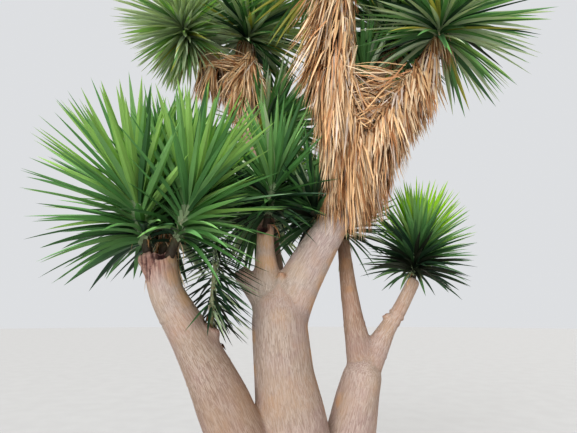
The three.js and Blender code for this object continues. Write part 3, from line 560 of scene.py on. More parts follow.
class Line:
    """A smooth line through its points: a centripetal Catmull-Rom spline, as the solids have."""

    def __init__(self, points):
        self.points = np.array(points, float)

    def at(self, t):
        p, last = self.points, len(self.points) - 1
        place = np.clip(np.atleast_1d(t), 0, 1) * last
        i = np.minimum(place.astype(int), last - 1)
        w = (place - i)[:, None]
        p1, p2 = p[i], p[i + 1]
        p0 = np.where((i > 0)[:, None], p[np.maximum(i - 1, 0)], 2 * p1 - p2)
        p3 = np.where((i + 2 <= last)[:, None], p[np.minimum(i + 2, last)], 2 * p2 - p1)
        spans = ((p0, p1), (p1, p2), (p2, p3))
        d0, d1, d2 = (np.linalg.norm(b - a, axis=1, keepdims=True) ** 0.5 for a, b in spans)
        m1 = ((p1 - p0) / d0 - (p2 - p0) / (d0 + d1) + (p2 - p1) / d1) * d1
        m2 = ((p2 - p1) / d1 - (p3 - p1) / (d1 + d2) + (p3 - p2) / d2) * d1
        return p1 + m1 * w + (3 * (p2 - p1) - 2 * m1 - m2) * w**2 + (2 * (p1 - p2) + m1 + m2) * w**3

    def tangent(self, t):
        t = np.atleast_1d(t)
        return unit(self.at(np.minimum(t + DIRECTION_STEP, 1)) - self.at(np.maximum(t - DIRECTION_STEP, 0)))

    def length(self):
        return np.linalg.norm(np.diff(self.at(np.linspace(0, 1, LENGTH_PLACES)), axis=0), axis=1).sum()


def carried_frames(tangents):
    """Two unit vectors square to each tangent, carried along without twist."""
    side = np.array([0.0, 1.0, 0.0] if abs(tangents[0][0]) > NEAR_X else [1.0, 0.0, 0.0])
    sides = []
    for tangent in tangents:
        side = unit(side - tangent * side.dot(tangent))
        sides.append(side)
    sides = np.array(sides)
    return sides, np.cross(tangents, sides)


LINES = {name: Line(points) for name, (points, across) in LIMBS.items()}


def mark_points(mesh, label, values):
    """Give a mesh a number or a vector for each of its vertices."""
    values = np.asarray(values, np.float32)
    kind, field = ("FLOAT_VECTOR", "vector") if values.ndim == 2 else ("FLOAT", "value")
    mesh.attributes.new(label, kind, "POINT").data.foreach_set(field, values.ravel())


class Soup:
    """Vertices, faces and their materials, collected piece by piece for one mesh."""

    def __init__(self):
        self.verts, self.quads, self.tris = [], [], []
        self.quad_mats, self.tri_mats = [], []
        self.marks = []
        self.count = 0

    def add(self, verts, quads, tris, mat=0, marks=None, quad_mats=None):
        self.verts.append(np.asarray(verts, float))
        if len(quads):
            self.quads.append(np.asarray(quads) + self.count)
            self.quad_mats.append(np.full(len(quads), mat) if quad_mats is None else quad_mats)
        if len(tris):
            self.tris.append(np.asarray(tris) + self.count)
            self.tri_mats.append(np.full(len(tris), mat))
        self.marks.append(np.zeros((len(verts), 3)) if marks is None else marks)
        self.count += len(verts)

    def mesh(self, name, materials=(), mark=None, sharp=None):
        verts = np.concatenate(self.verts)
        quads = np.concatenate(self.quads) if self.quads else np.zeros((0, 4), int)
        tris = np.concatenate(self.tris) if self.tris else np.zeros((0, 3), int)
        mats = np.concatenate([*self.quad_mats, *self.tri_mats])
        made = mesh_of(name, verts, quads, tris)
        for material in materials:
            made.materials.append(material)
        made.polygons.foreach_set("material_index", mats.astype(np.int32))
        if mark:
            mark_points(made, mark, np.concatenate(self.marks))
        made.shade_smooth()
        if sharp:
            made.set_sharp_from_angle(angle=sharp)
        made.update()
        return made


def mesh_of(name, verts, quads, tris):
    made = bpy.data.meshes.new(name)
    made.vertices.add(len(verts))
    made.vertices.foreach_set("co", np.asarray(verts, np.float32).ravel())
    loops = np.concatenate([np.asarray(quads).ravel(), np.asarray(tris).ravel()]).astype(np.int32)
    made.loops.add(len(loops))
    made.loops.foreach_set("vertex_index", loops)
    sizes = np.concatenate([np.full(len(quads), 4), np.full(len(tris), 3)])
    made.polygons.add(len(sizes))
    made.polygons.foreach_set("loop_start", (np.cumsum(sizes) - sizes).astype(np.int32))
    made.update(calc_edges=True)
    made.validate()
    return made


def ring_faces(rings, sides):
    """Quads between rings of equal size, and triangles that close both ends on two last points."""
    r, s = np.meshgrid(np.arange(rings - 1), np.arange(sides), indexing="ij")
    a, b = (r * sides + s).ravel(), (r * sides + (s + 1) % sides).ravel()
    quads = np.stack([a, b, b + sides, a + sides], 1)
    s = np.arange(sides)
    n, last = (s + 1) % sides, (rings - 1) * sides
    start = np.stack([np.full(sides, rings * sides), n, s], 1)
    end = np.stack([np.full(sides, rings * sides + 1), last + s, last + n], 1)
    return quads, np.concatenate([start, end])


def waves(share, around, rows):
    """A factor near 1 that goes up and down round a tube, in waves with a number, phase and strength."""
    factor = 1
    for number, phase, strength in rows:
        factor = factor + strength * share * np.sin(number * around + phase)
    return factor


def tube(line, half, sides, swell=0.0, dome=0.22):
    """A tube along a line, with its half width at each ring, closed by a low point at both ends."""
    t = np.linspace(0, 1, len(half))
    centres, tangents = line.at(t), line.tangent(t)
    u, v = carried_frames(tangents)
    angle = np.linspace(0, 2 * math.pi, sides, endpoint=False)[None, :]
    wave = waves(swell, angle, [(number, turn * t[:, None], share) for number, turn, share in SWELL_WAVES])
    out = u[:, None] * np.cos(angle)[..., None] + v[:, None] * np.sin(angle)[..., None]
    verts = (centres[:, None] + out * (half[:, None] * wave)[..., None]).reshape(-1, 3)
    ends = [centres[0] - tangents[0] * half[0] * dome, centres[-1] + tangents[-1] * half[-1] * dome]
    return np.concatenate([verts, ends]), *ring_faces(len(half), sides)


def foot_share(z):
    """How wide the foot is at a height, as a share of its half widths."""
    rows = Line([(height, share, 0) for height, share in FOOT_PROFILE]).at(np.linspace(0, 1, FOOT_PLACES))
    return np.interp(z, rows[:, 0], rows[:, 1], left=FOOT_PROFILE[0][1], right=0)


def foot_tube():
    """The swollen, lobed foot, from the ground up."""
    height = FOOT_PROFILE[-1][0]
    z = np.linspace(0, height, FOOT_RINGS)[:, None]
    t, angle = z / height, np.linspace(0, 2 * math.pi, FOOT_SIDES, endpoint=False)[None, :]
    share = foot_share(z) * waves(FOOT_LOBE_SHARE * (1 - t), angle, FOOT_WAVES)
    x = FOOT_HALF[0] * share * np.cos(angle) + FOOT_LEAN[0] * t
    y = FOOT_HALF[1] * share * np.sin(angle) + FOOT_LEAN[1] * t
    verts = np.stack([x, y, np.broadcast_to(z, x.shape)], -1).reshape(-1, 3)
    ends = [(0, 0, 0), (*FOOT_LEAN, height + FOOT_CAP)]
    return np.concatenate([verts, ends]), *ring_faces(FOOT_RINGS, FOOT_SIDES)


# Wood


def remeshed(soup, voxel):
    """One closed skin round everything in the soup, as vertices and quads."""
    made = bpy.data.objects.new("wood_form", soup.mesh("wood_form"))
    bpy.context.scene.collection.objects.link(made)
    modifier = made.modifiers.new("skin", "REMESH")
    modifier.mode, modifier.voxel_size = "VOXEL", voxel
    skin = bpy.data.meshes.new_from_object(made.evaluated_get(bpy.context.evaluated_depsgraph_get()))
    verts = np.zeros(len(skin.vertices) * 3, np.float32)
    skin.vertices.foreach_get("co", verts)
    sizes = np.zeros(len(skin.polygons), np.int32)
    skin.polygons.foreach_get("loop_total", sizes)
    loops = np.zeros(len(skin.loops), np.int32)
    skin.loops.foreach_get("vertex_index", loops)
    if (sizes != 4).any():
        raise RuntimeError("the remeshed wood isn't all quads")
    bpy.data.objects.remove(made)
    bpy.data.meshes.remove(skin)
    return verts.reshape(-1, 3).astype(float), loops.reshape(-1, 4)


def relaxed(verts, quads, times, share=0.5):
    """Each vertex moves part of the way to the middle of its neighbours."""
    a = np.concatenate([quads[:, i] for i in range(4)])
    b = np.concatenate([quads[:, (i + 1) % 4] for i in range(4)])
    count = np.bincount(a, minlength=len(verts))[:, None] + np.bincount(b, minlength=len(verts))[:, None]
    for _ in range(times):
        total = np.stack([
            np.bincount(a, verts[b, axis], len(verts)) + np.bincount(b, verts[a, axis], len(verts))
            for axis in range(3)
        ], 1)
        verts = mix(verts, total / count, share)
    return verts


def normals_of(verts, quads):
    face = np.cross(verts[quads[:, 2]] - verts[quads[:, 0]], verts[quads[:, 3]] - verts[quads[:, 1]])
    total = np.zeros_like(verts)
    for axis in range(3):
        for corner in range(4):
            total[:, axis] += np.bincount(quads[:, corner], face[:, axis], len(verts))
    return unit(total + 1e-12)


def bark_places(verts, names, with_foot):
    """Each vertex in the straightened frame of the limb that it lies on, that limb's radius and its painted
    shade.
    """
    best = np.full(len(verts), np.inf)
    place, radius, shade = verts.copy(), np.full(len(verts), USUAL_RADIUS), np.zeros(len(verts))
    t = np.linspace(0, 1, GUIDE_PLACES)
    guides = [
        (LINES[name], along(LIMBS[name][1], t) / 2, BARK_PAINTED_SHADE.get(name, HIDDEN_LIMB_PAINTED_SHADE)) for name in names
    ]
    if with_foot:
        top = FOOT_PROFILE[-1][0]
        halves = np.maximum(foot_share(t * top) * sum(FOOT_HALF) / 2, THINNEST_FOOT)
        guides.append((Line([(0, 0, 0), (*FOOT_LEAN, top)]), halves, BARK_PAINTED_SHADE["foot"]))
    for line, halves, painted_shade_values in guides:
        centres, tangents = line.at(t), line.tangent(t)
        x, y, z = centres[0]
        u, v = carried_frames(tangents)
        run = np.concatenate([[0], np.cumsum(np.linalg.norm(np.diff(centres, axis=0), axis=1))])
        reach = halves.max() * GUIDE_REACH
        near = np.flatnonzero(((verts > centres.min(0) - reach) & (verts < centres.max(0) + reach)).all(1))
        for part in np.array_split(near, max(1, len(near) // GUIDE_BATCH)):
            j = ((verts[part][:, None] - centres[None]) ** 2).sum(-1).argmin(1)
            rel = verts[part] - centres[j]
            a, b, c = ((rel * axes[j]).sum(1) for axes in (u, v, tangents))
            off = np.abs(np.hypot(a, b) - halves[j]) + np.maximum(np.abs(c) - GUIDE_SLACK, 0)
            better = off < best[part]
            chosen = part[better]
            best[chosen] = off[better]
            place[chosen] = np.stack([x + a, y + b, z + run[j] + c], 1)[better]
            radius[chosen] = halves[j][better]
            shade[chosen] = along(painted_shade_values, t[j])[better]
    return place, radius, shade


def noise_at(points, scale, seed=0):
    """Smooth noise from -1 to 1 at each point, after the points are scaled."""
    scaled = points * np.asarray(scale, float) + seed * NOISE_SEED_STEP
    return np.array([noise.noise(Vector(p)) for p in scaled.tolist()])


def layered(points, layers):
    """Layers of noise, each with its scale, seed and height, added up."""
    return sum(noise_at(points, scale, seed) * height for scale, seed, height in layers)


def limb_forms(names, with_foot):
    """The tubes that the wood's skin is drawn round: the limbs, the foot and the stubs."""
    soup = Soup()
    for name in names:
        t = np.linspace(0, 1, int(LINES[name].length() / LIMB_RING_STEP))
        soup.add(*tube(LINES[name], along(LIMBS[name][1], t) / 2, LIMB_SIDES, LIMB_SWELL))
    if with_foot:
        soup.add(*foot_tube())
        for start, end, across in STUBS:
            soup.add(*tube(Line([start, end]), along(across, np.linspace(0, 1, STUB_RINGS)) / 2, STUB_SIDES))
    return soup


class Bark:
    """A skin of wood, and at each vertex how far the bark stands out and what it is like."""

    def __init__(self, names, with_foot, voxel, relief):
        verts, self.quads = remeshed(limb_forms(names, with_foot), voxel)
        self.verts = relaxed(verts, self.quads, SKIN_SMOOTHING)
        self.normals = normals_of(self.verts, self.quads)
        self.bark_place, radius, shade = bark_places(self.verts, names, with_foot)
        # The painted shade, blurred over the skin
        self.shade = relaxed(np.repeat(shade[:, None], 3, 1), self.quads, PAINTED_SHADE_SMOOTHING)[:, 0]
        self.push = BARK_THICKNESS + layered(self.bark_place, LUMPS) * radius * relief
        self.push += layered(self.bark_place, FLUTES) * relief
        self.torn = np.zeros(len(verts))
        self.hollow = np.zeros(len(verts))
        self.warm = smooth(*THIN_LIMB, radius) * THIN_LIMB_WARMTH

    def round_axis(self, middle, way):
        """How far each vertex is along an axis through the middle, and how far out from it."""
        rel = self.verts - np.array(middle)
        axial = rel @ unit(way)
        return axial, np.linalg.norm(rel - axial[:, None] * unit(way), axis=1)

    def cut_ends(self):
        """The flat face of each cut end, the hollow rotted into it and the torn bark round it."""
        for middle, facing, half, depth, down, share in CUTS:
            axial, radial = self.round_axis(middle, facing)
            near = (radial < half * CUT_OUT) & (axial > -down * CUT_DOWN) & (axial < CUT_UP)
            rim = smooth(half * CUT_HOLE[0], half * CUT_HOLE[1], radial)
            hole = smooth(*CUT_FACE, axial) * near * (1 - rim)
            torn = share * near * smooth(-down * CUT_DOWN, -down * TORN_FROM, axial)
            self.torn = np.maximum(self.torn, torn)
            self.hollow = np.maximum(self.hollow, hole * (SHALLOW_DARKNESS if depth < SHALLOW_CUT else 1))
            beyond = np.maximum(axial, 0) * near
            self.verts -= (hole * depth + beyond)[:, None] * unit(facing)
        self.push += layered(self.verts, SPLINTERS) * self.torn

    def crevices(self):
        """The crevices in the front of the left trunk's top, cut in and painted dark as shade."""
        front = self.verts[:, 1] < CREVICE_FRONT
        wander = layered(self.verts, CREVICE_WANDER)
        for start, end, half, depth in CREVICES:
            way = np.array(end) - np.array(start)
            rel = self.verts[:, (0, 2)] - np.array(start)
            share = np.clip(rel @ way / (way**2).sum(), 0, 1)
            gap = np.linalg.norm(rel - share[:, None] * way, axis=1) + wander
            deepest = np.sin(math.pi * mix(*CREVICE_FADE, share))
            groove = front * (1 - smooth(half * CREVICE_FLOOR, half, gap)) * deepest
            self.push -= groove * depth
            # Painted shade in the groove, carried as hollow with the cut ends' rot
            self.hollow = np.maximum(self.hollow, groove * CREVICE_PAINTED_SHADE)

    def warm_patches(self):
        """Where the bark is smooth and warm."""
        wander = layered(self.verts, WARM_WANDER)
        for middle, reach in WARM_PATCHES:
            gap = np.linalg.norm(self.verts - np.array(middle), axis=1) + wander
            self.warm = np.maximum(self.warm, 1 - smooth(reach * WARM_HEART, reach, gap))

    def ring_scars(self):
        """The ring scars, each a low ridge with a groove below it."""
        wander = layered(self.verts, SCAR_WANDER)
        for middle, way, half, height in SCARS:
            axial, radial = self.round_axis(middle, way)
            axial += wander
            ridge = np.exp(-((axial / SCAR_RIDGE) ** 2))
            groove = np.exp(-(((axial + SCAR_GROOVE_BELOW) / SCAR_GROOVE) ** 2))
            self.push += height * (ridge - SCAR_GROOVE_SHARE * groove) * (radial < half * SCAR_REACH)


def wood_piece(name, names, with_foot, sizes, material):
    """The skin of some limbs as one piece; the foot brings the stubs, cuts and scars with it."""
    bark = Bark(names, with_foot, sizes.voxel, sizes.relief)
    if with_foot:
        bark.cut_ends()
        bark.crevices()
        bark.warm_patches()
        bark.ring_scars()
    verts = bark.verts + bark.normals * bark.push[:, None]
    if with_foot:
        verts[:, 2] = np.where(verts[:, 2] < GROUND_BAND, 0, verts[:, 2])
    made = mesh_of(name, verts, bark.quads, [])
    made.materials.append(material)
    for label in ("bark_place", "torn", "hollow", "warm", "shade"):
        mark_points(made, label, getattr(bark, label))
    made.shade_smooth()
    placed_piece(made, names)


def placed_piece(mesh, nodes):
    """The mesh as a piece of the part: on the root body, standing in for the nodes, which it hides."""
    made = bpy.data.objects.new(mesh.name, mesh)
    bpy.context.scene.collection.objects.link(made)
    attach(made, "root")
    if nodes:
        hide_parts(*nodes)


# What leaves stay clear of


def balls(line, half):
    """Balls strung along a line, as rows of a middle and a half width."""
    t = np.linspace(0, 1, int(math.ceil(line.length() / BALL_SPACING)) + 1)
    return np.column_stack([line.at(t), along(half, t)])


LIMB_BALLS = np.concatenate(
    [balls(LINES[name], np.array(across) / 2) for name, (points, across) in LIMBS.items()]
    + [balls(Line([start, end]), np.array(across) / 2) for start, end, across in STUBS]
)


def rosette_plans():
    """What each rosette is built from, with its foot, its heart and its stem's half width."""
    labels = ("leaf", "widest", "leafy", "count", "width", "tone")
    plans = []
    for name, (limb, at, rise, *rest) in ROSETTES.items():
        foot = LINES[limb].at(at)[0] + STEM_ASIDE.get(name, 0)
        plan = {"name": name, "foot": foot, "heart": foot + rise, "line": Line([foot, foot + rise])}
        plan["half"] = max(STEM_THINNEST, STEM_HALF_SHARE * rest[0])
        plan["on_end"] = at > END_PLACE
        plans.append({**plan, **dict(zip(labels, rest))})
    return plans


def thatch_plans():
    """What each dry sleeve is built from, with the line that it follows."""
    labels = ("half", "hang", "sag", "lean", "count")
    plans = []
    for name, (stretches, *rest) in THATCHES.items():
        rows = []
        for limb, start, end in stretches:
            steps = max(1, round(LINES[limb].length() * (end - start) / THATCH_SPACING))
            rows.append(LINES[limb].at(np.linspace(start, end, steps + 1)))
        plans.append({"name": name, "line": Line(np.concatenate(rows)), **dict(zip(labels, rest))})
    return plans


def lean_at(plan, t):
    """The way that a sleeve leans at each place along it, most in its middle."""
    return np.outer(np.sin(math.pi * np.atleast_1d(t)), (*plan["lean"], 0))


def splay_at(t):
    """How far dead leaves stand out straight from the side that a sleeve leans to."""
    return math.exp(-(((t - SPLAY_AT) / SPLAY_SPREAD) ** 2))


def thatch_balls(plan):
    """Balls that fill a sleeve: along its limb and again lower down, upright and leaning."""
    rows = []
    for drop in THATCH_DROPS:
        row = balls(plan["line"], plan["half"])
        row[:, 3] *= 1 - THATCH_NARROWING * drop
        t = np.linspace(0, 1, len(row))
        row[:, 2] -= drop * along(plan["hang"], t)
        aside = row.copy()
        aside[:, :3] += lean_at(plan, t) * row[:, 3:]
        rows += [row, aside]
    return np.concatenate(rows)


def clear_of(points, room, rows):
    """Whether all points keep that room from all balls."""
    gap = np.linalg.norm(points[:, None] - rows[None, :, :3], axis=2) - rows[None, :, 3]
    return (gap.min(1) > room).all()


def in_own_cell(points, own, plans):
    """Whether all points are on the own side of the planes between the rosette and the others."""
    for other in plans:
        if other is own:
            continue
        across = other["heart"] - own["heart"]
        gap = np.linalg.norm(across)
        share = own["leaf"] / (own["leaf"] + other["leaf"])
        if ((points - own["heart"]) @ (across / gap) > gap * share + CELL_SLACK).any():
            return False
    return True


# Leaves


def leaf_line(root, up, direction, length, droop, t, bend, side):
    """Along the stem at first, then straight out, then bending down; the length is from root to tip."""
    scale = length / np.linalg.norm(direction + np.array([0, 0, -droop]))
    points = root + np.outer(t, direction * scale) - np.outer(t * t * droop * scale, (0, 0, 1))
    points += np.outer(LEAF_SHEATH * (1 - np.exp(-t / LEAF_SHEATH)) * scale, up - direction)
    return points + np.outer(t * t * bend * scale, side)


def blade_solid(points, side, half, fold, thick, section, stub=0.0):
    """A closed blade: the section's points at each station, then a point at its root and at its tip."""
    tangents = unit(np.gradient(points, axis=0))
    sides = unit(side - tangents * (side * tangents).sum(1)[:, None])
    n = len(points) - 1
    c, s, u = points[:n], sides[:n], np.cross(sides, tangents)[:n]
    h, lift, k = (np.broadcast_to(a, n + 1)[:n, None] for a in (half, half * fold, thick))
    rows = [c + s * h * across + u * (lift * up + k * out) for across, up, out in section]
    ends = [points[:1] - tangents[:1] * stub, points[-1:]]
    return np.concatenate([np.stack(rows, 1).reshape(-1, 3), *ends]), *ring_faces(n, len(section))


def blade_marks(section, run, tip, shade):
    """For each point of a blade how far across and along it lies, and the blade's own shade."""
    across = np.tile([row[0] for row in section], len(run))
    marks = np.column_stack([across, np.repeat(run, len(section)), np.full(len(across), shade)])
    return np.concatenate([marks, [(0, 0, shade), (0, tip, shade)]])


def leaf_tone(plan, age, forward, rng):
    """Which green a leaf has: older leaves are darker, a few of the oldest have turned, and on a backlit
    rosette painted shade darkens those at the front and painted light brightens those at the back.
    """
    first, last, greyish, aged, spread, youngest = GREEN_MIXES[plan["tone"]]
    tone = mix(first, last, age) + rng.normal(0, spread) + FRONT_PAINTED_SHADE.get(plan["tone"], 0) * forward
    turned = rng.random() < aged and age > TURNED_AGE
    if turned or rng.random() < greyish:
        return len(GREENS) - 1 if turned else len(GREENS) - 2
    return int(np.clip(round(tone), youngest, len(GREENS) - 3))


def add_leaf(soup, points, side, length, width, tone, shade):
    """One green leaf, whose first faces have the pale colour of its root."""
    t = np.linspace(0, 1, LEAF_STATIONS)
    half = np.interp(t, *LEAF_OUTLINE) * width / 2
    fold, thick = np.interp(t, *LEAF_FOLD), np.interp(t, *LEAF_THICKNESS)
    verts, quads, tris = blade_solid(points, side, half, fold, thick, LEAF_SECTION, LEAF_ROOT_POINT)
    mats = np.full(len(quads), tone)
    mats[:len(LEAF_SECTION)] = len(GREENS)
    soup.add(verts, quads, tris, tone, blade_marks(LEAF_SECTION, t[:-1] * length, length, shade), mats)


def level_side(direction, rng):
    """The way across a leaf, level but for a little roll."""
    side = np.cross(direction, (0, 0, 1))
    side = unit(side if np.linalg.norm(side) > STEEPEST_SIDE else np.array([1.0, 0, 0]))
    roll = rng.normal(0, LEAF_ROLL)
    return unit(side * math.cos(roll) + np.cross(direction, side) * math.sin(roll))


def rosette_leaves(plan, index, plans, others, box, sizes, soup):
    """A rosette's leaves by the golden angle: one that has no room is made shorter or left out."""
    rng = np.random.default_rng(ROSETTE_SEED + index)
    rise = plan["heart"] - plan["foot"]
    up = unit(rise)
    (u,), (v,) = carried_frames(np.array([up]))
    narrowest, crowding = HABITS.get(plan["name"], (LEAF_NARROWEST, LEAF_CROWDING))
    narrow, wide = math.cos(narrowest), math.cos(math.radians(plan["widest"]))
    probe, stations = np.linspace(1 / LEAF_PROBES, 1, LEAF_PROBES), np.linspace(0, 1, LEAF_STATIONS)
    width = sizes.leaf_width * math.sqrt(plan["leaf"] / LEAF_FULL_LENGTH) * plan["width"]
    room = LEAF_ROOM + width * LEAF_ROOM_SHARE
    for k in range(plan["count"]):
        age = (k + 0.5) / plan["count"]
        turn = GOLDEN_ANGLE * k + LEAF_TURN_SPREAD * (rng.random() - 0.5)
        cosine = mix(narrow, wide, age**crowding)
        sine = math.sqrt(1 - cosine * cosine)
        aside = u * math.cos(turn) + v * math.sin(turn)
        direction = unit(up * cosine + aside * sine + rng.normal(0, LEAF_STRAY, 3))
        height = mix(LEAF_ROOT_TOP, 1 - plan["leafy"], age)
        root = plan["foot"] + rise * height + aside * LEAF_ROOT_OUT * plan["half"]
        full = plan["leaf"] * mix(1, LEAF_SHORTEST_SHARE, rng.random()) * mix(1, LEAF_OLDEST_SHARE, age)
        full += (LEAF_TIP_REACH - LEAF_ROOT_TOP) * np.linalg.norm(rise) * (1 - age)
        full *= mix(LEAF_YOUNGEST_SHARE, 1, min(age / LEAF_YOUNG_UNTIL, 1))
        droop = mix(*LEAF_DROOP, age**3) * sine * rng.uniform(*LEAF_DROOP_SPREAD)
        side = level_side(direction, rng)
        bend = rng.normal(0, LEAF_BEND)
        for share in SHORTER_TRIES:
            way = (root, up, direction, full * share, droop)
            tested = leaf_line(*way, probe, bend, side)
            inside = (tested > box[0]).all() and (tested < box[1]).all()
            if inside and clear_of(tested, room, others) and in_own_cell(tested, plan, plans):
                points = leaf_line(*way, stations, bend, side)
                thin = width * rng.uniform(*LEAF_WIDTHS)
                tone = leaf_tone(plan, age, -direction[1], rng)
                add_leaf(soup, points, side, full * share, thin, tone, rng.random())
                break


def stem_tube(plan, soup):
    """The green stem of a rosette, with the low collars that fallen leaves have left on it."""
    length = np.linalg.norm(plan["heart"] - plan["foot"])
    t = np.linspace(0, 1, max(STEM_FEWEST_RINGS, int(length / STEM_RING_STEP)))
    collar = COLLAR_HEIGHT * np.abs(np.sin(t * length * COLLARS_PER_M)) ** COLLAR_SHARPNESS
    half = plan["half"] * np.interp(t, (0, 1), (1, STEM_TIP_SHARE)) + collar * (1 - t)
    shorter = Line([plan["foot"], mix(plan["foot"], plan["heart"], STEM_TOP)])
    verts, quads, tris = tube(shorter, half, STEM_SIDES)
    # How far this stem's dark foot, with its painted shade, is moved down
    clean = STEMS_CLEAR_OF_DARK_FOOT.get(plan["name"], 0)
    marks = np.column_stack([verts[:, 0], verts[:, 1], verts[:, 2] - plan["foot"][2] + clean])
    soup.add(verts, quads, tris, 0, marks)


# Dry sleeves


def pushed_out(points, rows, room, first):
    """Points from the given one on are moved out of the limbs that they would go through."""
    for i in range(first, len(points)):
        rel = points[i] - rows[:, :3]
        gap = np.linalg.norm(rel, axis=1)
        j = np.argmin(gap - rows[:, 3])
        if gap[j] < rows[j, 3] + room:
            points[i:] += rel[j] / gap[j] * (rows[j, 3] + room - gap[j])
    return points


def core_tube(plan, rng):
    """The inside of a sleeve, painted dark as shade: a lumpy tube round the limb, drawn down where the limb
    slants.
    """
    t = np.linspace(0, 1, CORE_RINGS)
    centres, tangents = plan["line"].at(t), plan["line"].tangent(t)
    u, v = carried_frames(tangents)
    angle = np.linspace(0, 2 * math.pi, CORE_SIDES, endpoint=False)[None, :, None]
    out = u[:, None] * np.cos(angle) + v[:, None] * np.sin(angle)
    sag = 1 + (plan["sag"] - 1) * np.maximum(0, -out[..., 2:]) ** 2
    lumps = rng.uniform(*CORE_LUMPS, (CORE_RINGS, CORE_SIDES, 1))
    half = (along(plan["half"], t) * CORE_SHARE)[:, None, None] * sag * lumps
    verts = (centres[:, None] + out * half).reshape(-1, 3)
    return np.concatenate([verts, [centres[0], centres[-1]]]), *ring_faces(CORE_RINGS, CORE_SIDES)


def straw_tone(rng, depth):
    """Which straw colour a dead leaf has: those nearer the limb are darker."""
    tones = mix(np.array(STRAW_MIX_IN), np.array(STRAW_MIX_OUT), depth)
    return rng.choice(len(STRAWS), p=tones / tones.sum())


def add_strip(soup, points, side, width, rng, tone):
    """One dead leaf: a dry ribbon twisted along its length, its edges curled back."""
    twist = rng.normal(0, STRIP_TWIST) * STRIP_PLACES + rng.normal(0, STRIP_TURN)
    turned = np.cross(unit(np.gradient(points, axis=0)), side)
    sides = side * np.cos(twist)[:, None] + turned * np.sin(twist)[:, None]
    half = np.interp(STRIP_PLACES, *STRIP_OUTLINE) * width / 2
    solid = blade_solid(points, sides, half, rng.uniform(*STRIP_CURL), STRIP_THICKNESS, STRIP_SECTION)
    run = STRIP_PLACES[:-1] * np.linalg.norm(points[-1] - points[0])
    soup.add(*solid, tone, blade_marks(STRIP_SECTION, run, run[-1], rng.random()))


def flat_way(out, rng):
    """The level part of a way out of the limb, or one drawn by lot if it has next to none."""
    if np.linalg.norm(out[:2]) < FLAT_LEAST:
        return unit(rng.normal(0, 1, 3) * (1, 1, 0)) * FLAT_DRAWN
    return np.array([out[0], out[1], 0.0])


def tuft_strip(plan, tuft, sizes, rng, soup):
    """One dead leaf of a tuft: it bends out, hangs, and comes back in lower down."""
    t = float(np.clip(tuft["t"] + rng.normal(0, TUFT_SPREAD[0]), 0, 1))
    turn = tuft["turn"] + rng.normal(0, TUFT_SPREAD[1])
    (u,), (v,) = carried_frames(plan["line"].tangent(t))
    out = u * math.cos(turn) + v * math.sin(turn)
    if out[2] > STRIP_STEEPEST and rng.random() > STEEP_KEPT:
        return
    depth = float(np.clip(tuft["depth"] + rng.normal(0, TUFT_SPREAD[2]), 0, 1))
    half = float(along(plan["half"], t))
    inner = half * STRIP_ROOT_OUT
    root = plan["line"].at(t)[0] + out * inner
    flat = flat_way(out, rng)
    reach = (half * mix(*STRIP_DEPTHS, depth) - inner) * tuft["reach"] * rng.uniform(*STRIP_REACH)
    length = float(along(plan["hang"], t)) * tuft["hang"] * rng.uniform(*STRIP_HANG)
    s = STRIP_PLACES
    over = np.minimum(s / rng.uniform(*STRIP_SHOULDER), 1)
    back = 1 - tuft["back"] * s
    points = root + np.outer(over * back * reach, flat) - np.outer(s * length, (0, 0, 1))
    lean = lean_at(plan, t)[0]
    leaning = max(0, float(out @ unit(lean + 1e-9))) * depth * splay_at(t)
    points += np.outer(s * SPLAY_REACH * leaning, unit(lean + 1e-9)) + lean * LEAN_SHIFT
    points += np.outer(s, tuft["sway"] + rng.normal(0, STRIP_SWAY, 3) * (1, 1, 0))
    ripple = np.sin(s * rng.uniform(*RIPPLES) + rng.uniform(*RIPPLE_PHASES)) * RIPPLE_HEIGHT * s
    points += np.outer(ripple, RIPPLE_WAY)
    points = pushed_out(points, LIMB_BALLS, STRIP_ROOM + STRIP_ROOM_OUTSIDE * depth, 2)
    side = unit(np.array([-out[1], out[0], STRIP_TILT]))
    own_tone = rng.random() >= TUFT_TONE_SHARE
    tone = straw_tone(rng, min(1, depth + tuft["paler"])) if own_tone else tuft["tone"]
    add_strip(soup, points, side, sizes.strip_width * rng.uniform(*STRIP_WIDTHS), rng, tone)


def thatch_strips(plan, index, sizes, soup):
    """A sleeve: its core painted dark as shade, and tufts of dead leaves all round the limb."""
    rng = np.random.default_rng(THATCH_SEED + index)
    verts, quads, tris = core_tube(plan, rng)
    marks = np.column_stack([verts[:, 0] * CORE_STRIPES, verts[:, 2], verts[:, 1]])
    # The core takes the near-black straw of painted shade
    soup.add(verts, quads, tris, len(STRAWS) - 1, marks)
    for _ in range(plan["count"]):
        tuft = {"t": rng.random(), "turn": rng.uniform(0, 2 * math.pi)}
        tuft["sway"] = rng.normal(0, TUFT_SWAY, 3) * (1, 1, 0) * along(plan["hang"], tuft["t"])
        tuft["reach"] = rng.uniform(*TUFT_REACH)
        tuft["hang"] = rng.uniform(*TUFT_HANG)
        tuft["depth"] = rng.random() ** TUFT_OUTWARD
        # Painted light: tufts higher up a sleeve take paler straw
        tuft["paler"] = PAINTED_SUNLIGHT * tuft["t"]
        tuft["tone"] = straw_tone(rng, min(1, tuft["depth"] + tuft["paler"]))
        tuft["back"] = rng.uniform(*TUFT_BACK)
        for _ in range(rng.integers(*STRIPS_IN_TUFT)):
            tuft_strip(plan, tuft, sizes, rng, soup)


def lying_strip(soup, start, middle, end, kind, sizes, rng):
    """A dead leaf caught level between two places."""
    lengths, tones, widths, room = kind
    points = Line([start, middle, end]).at(STRIP_PLACES * rng.uniform(*lengths))
    if room:
        points = pushed_out(points, LIMB_BALLS, room, 1)
    tone = straw_tone(rng, rng.uniform(*tones))
    add_strip(soup, points, unit(LYING_SIDE), sizes.strip_width * rng.uniform(*widths), rng, tone)


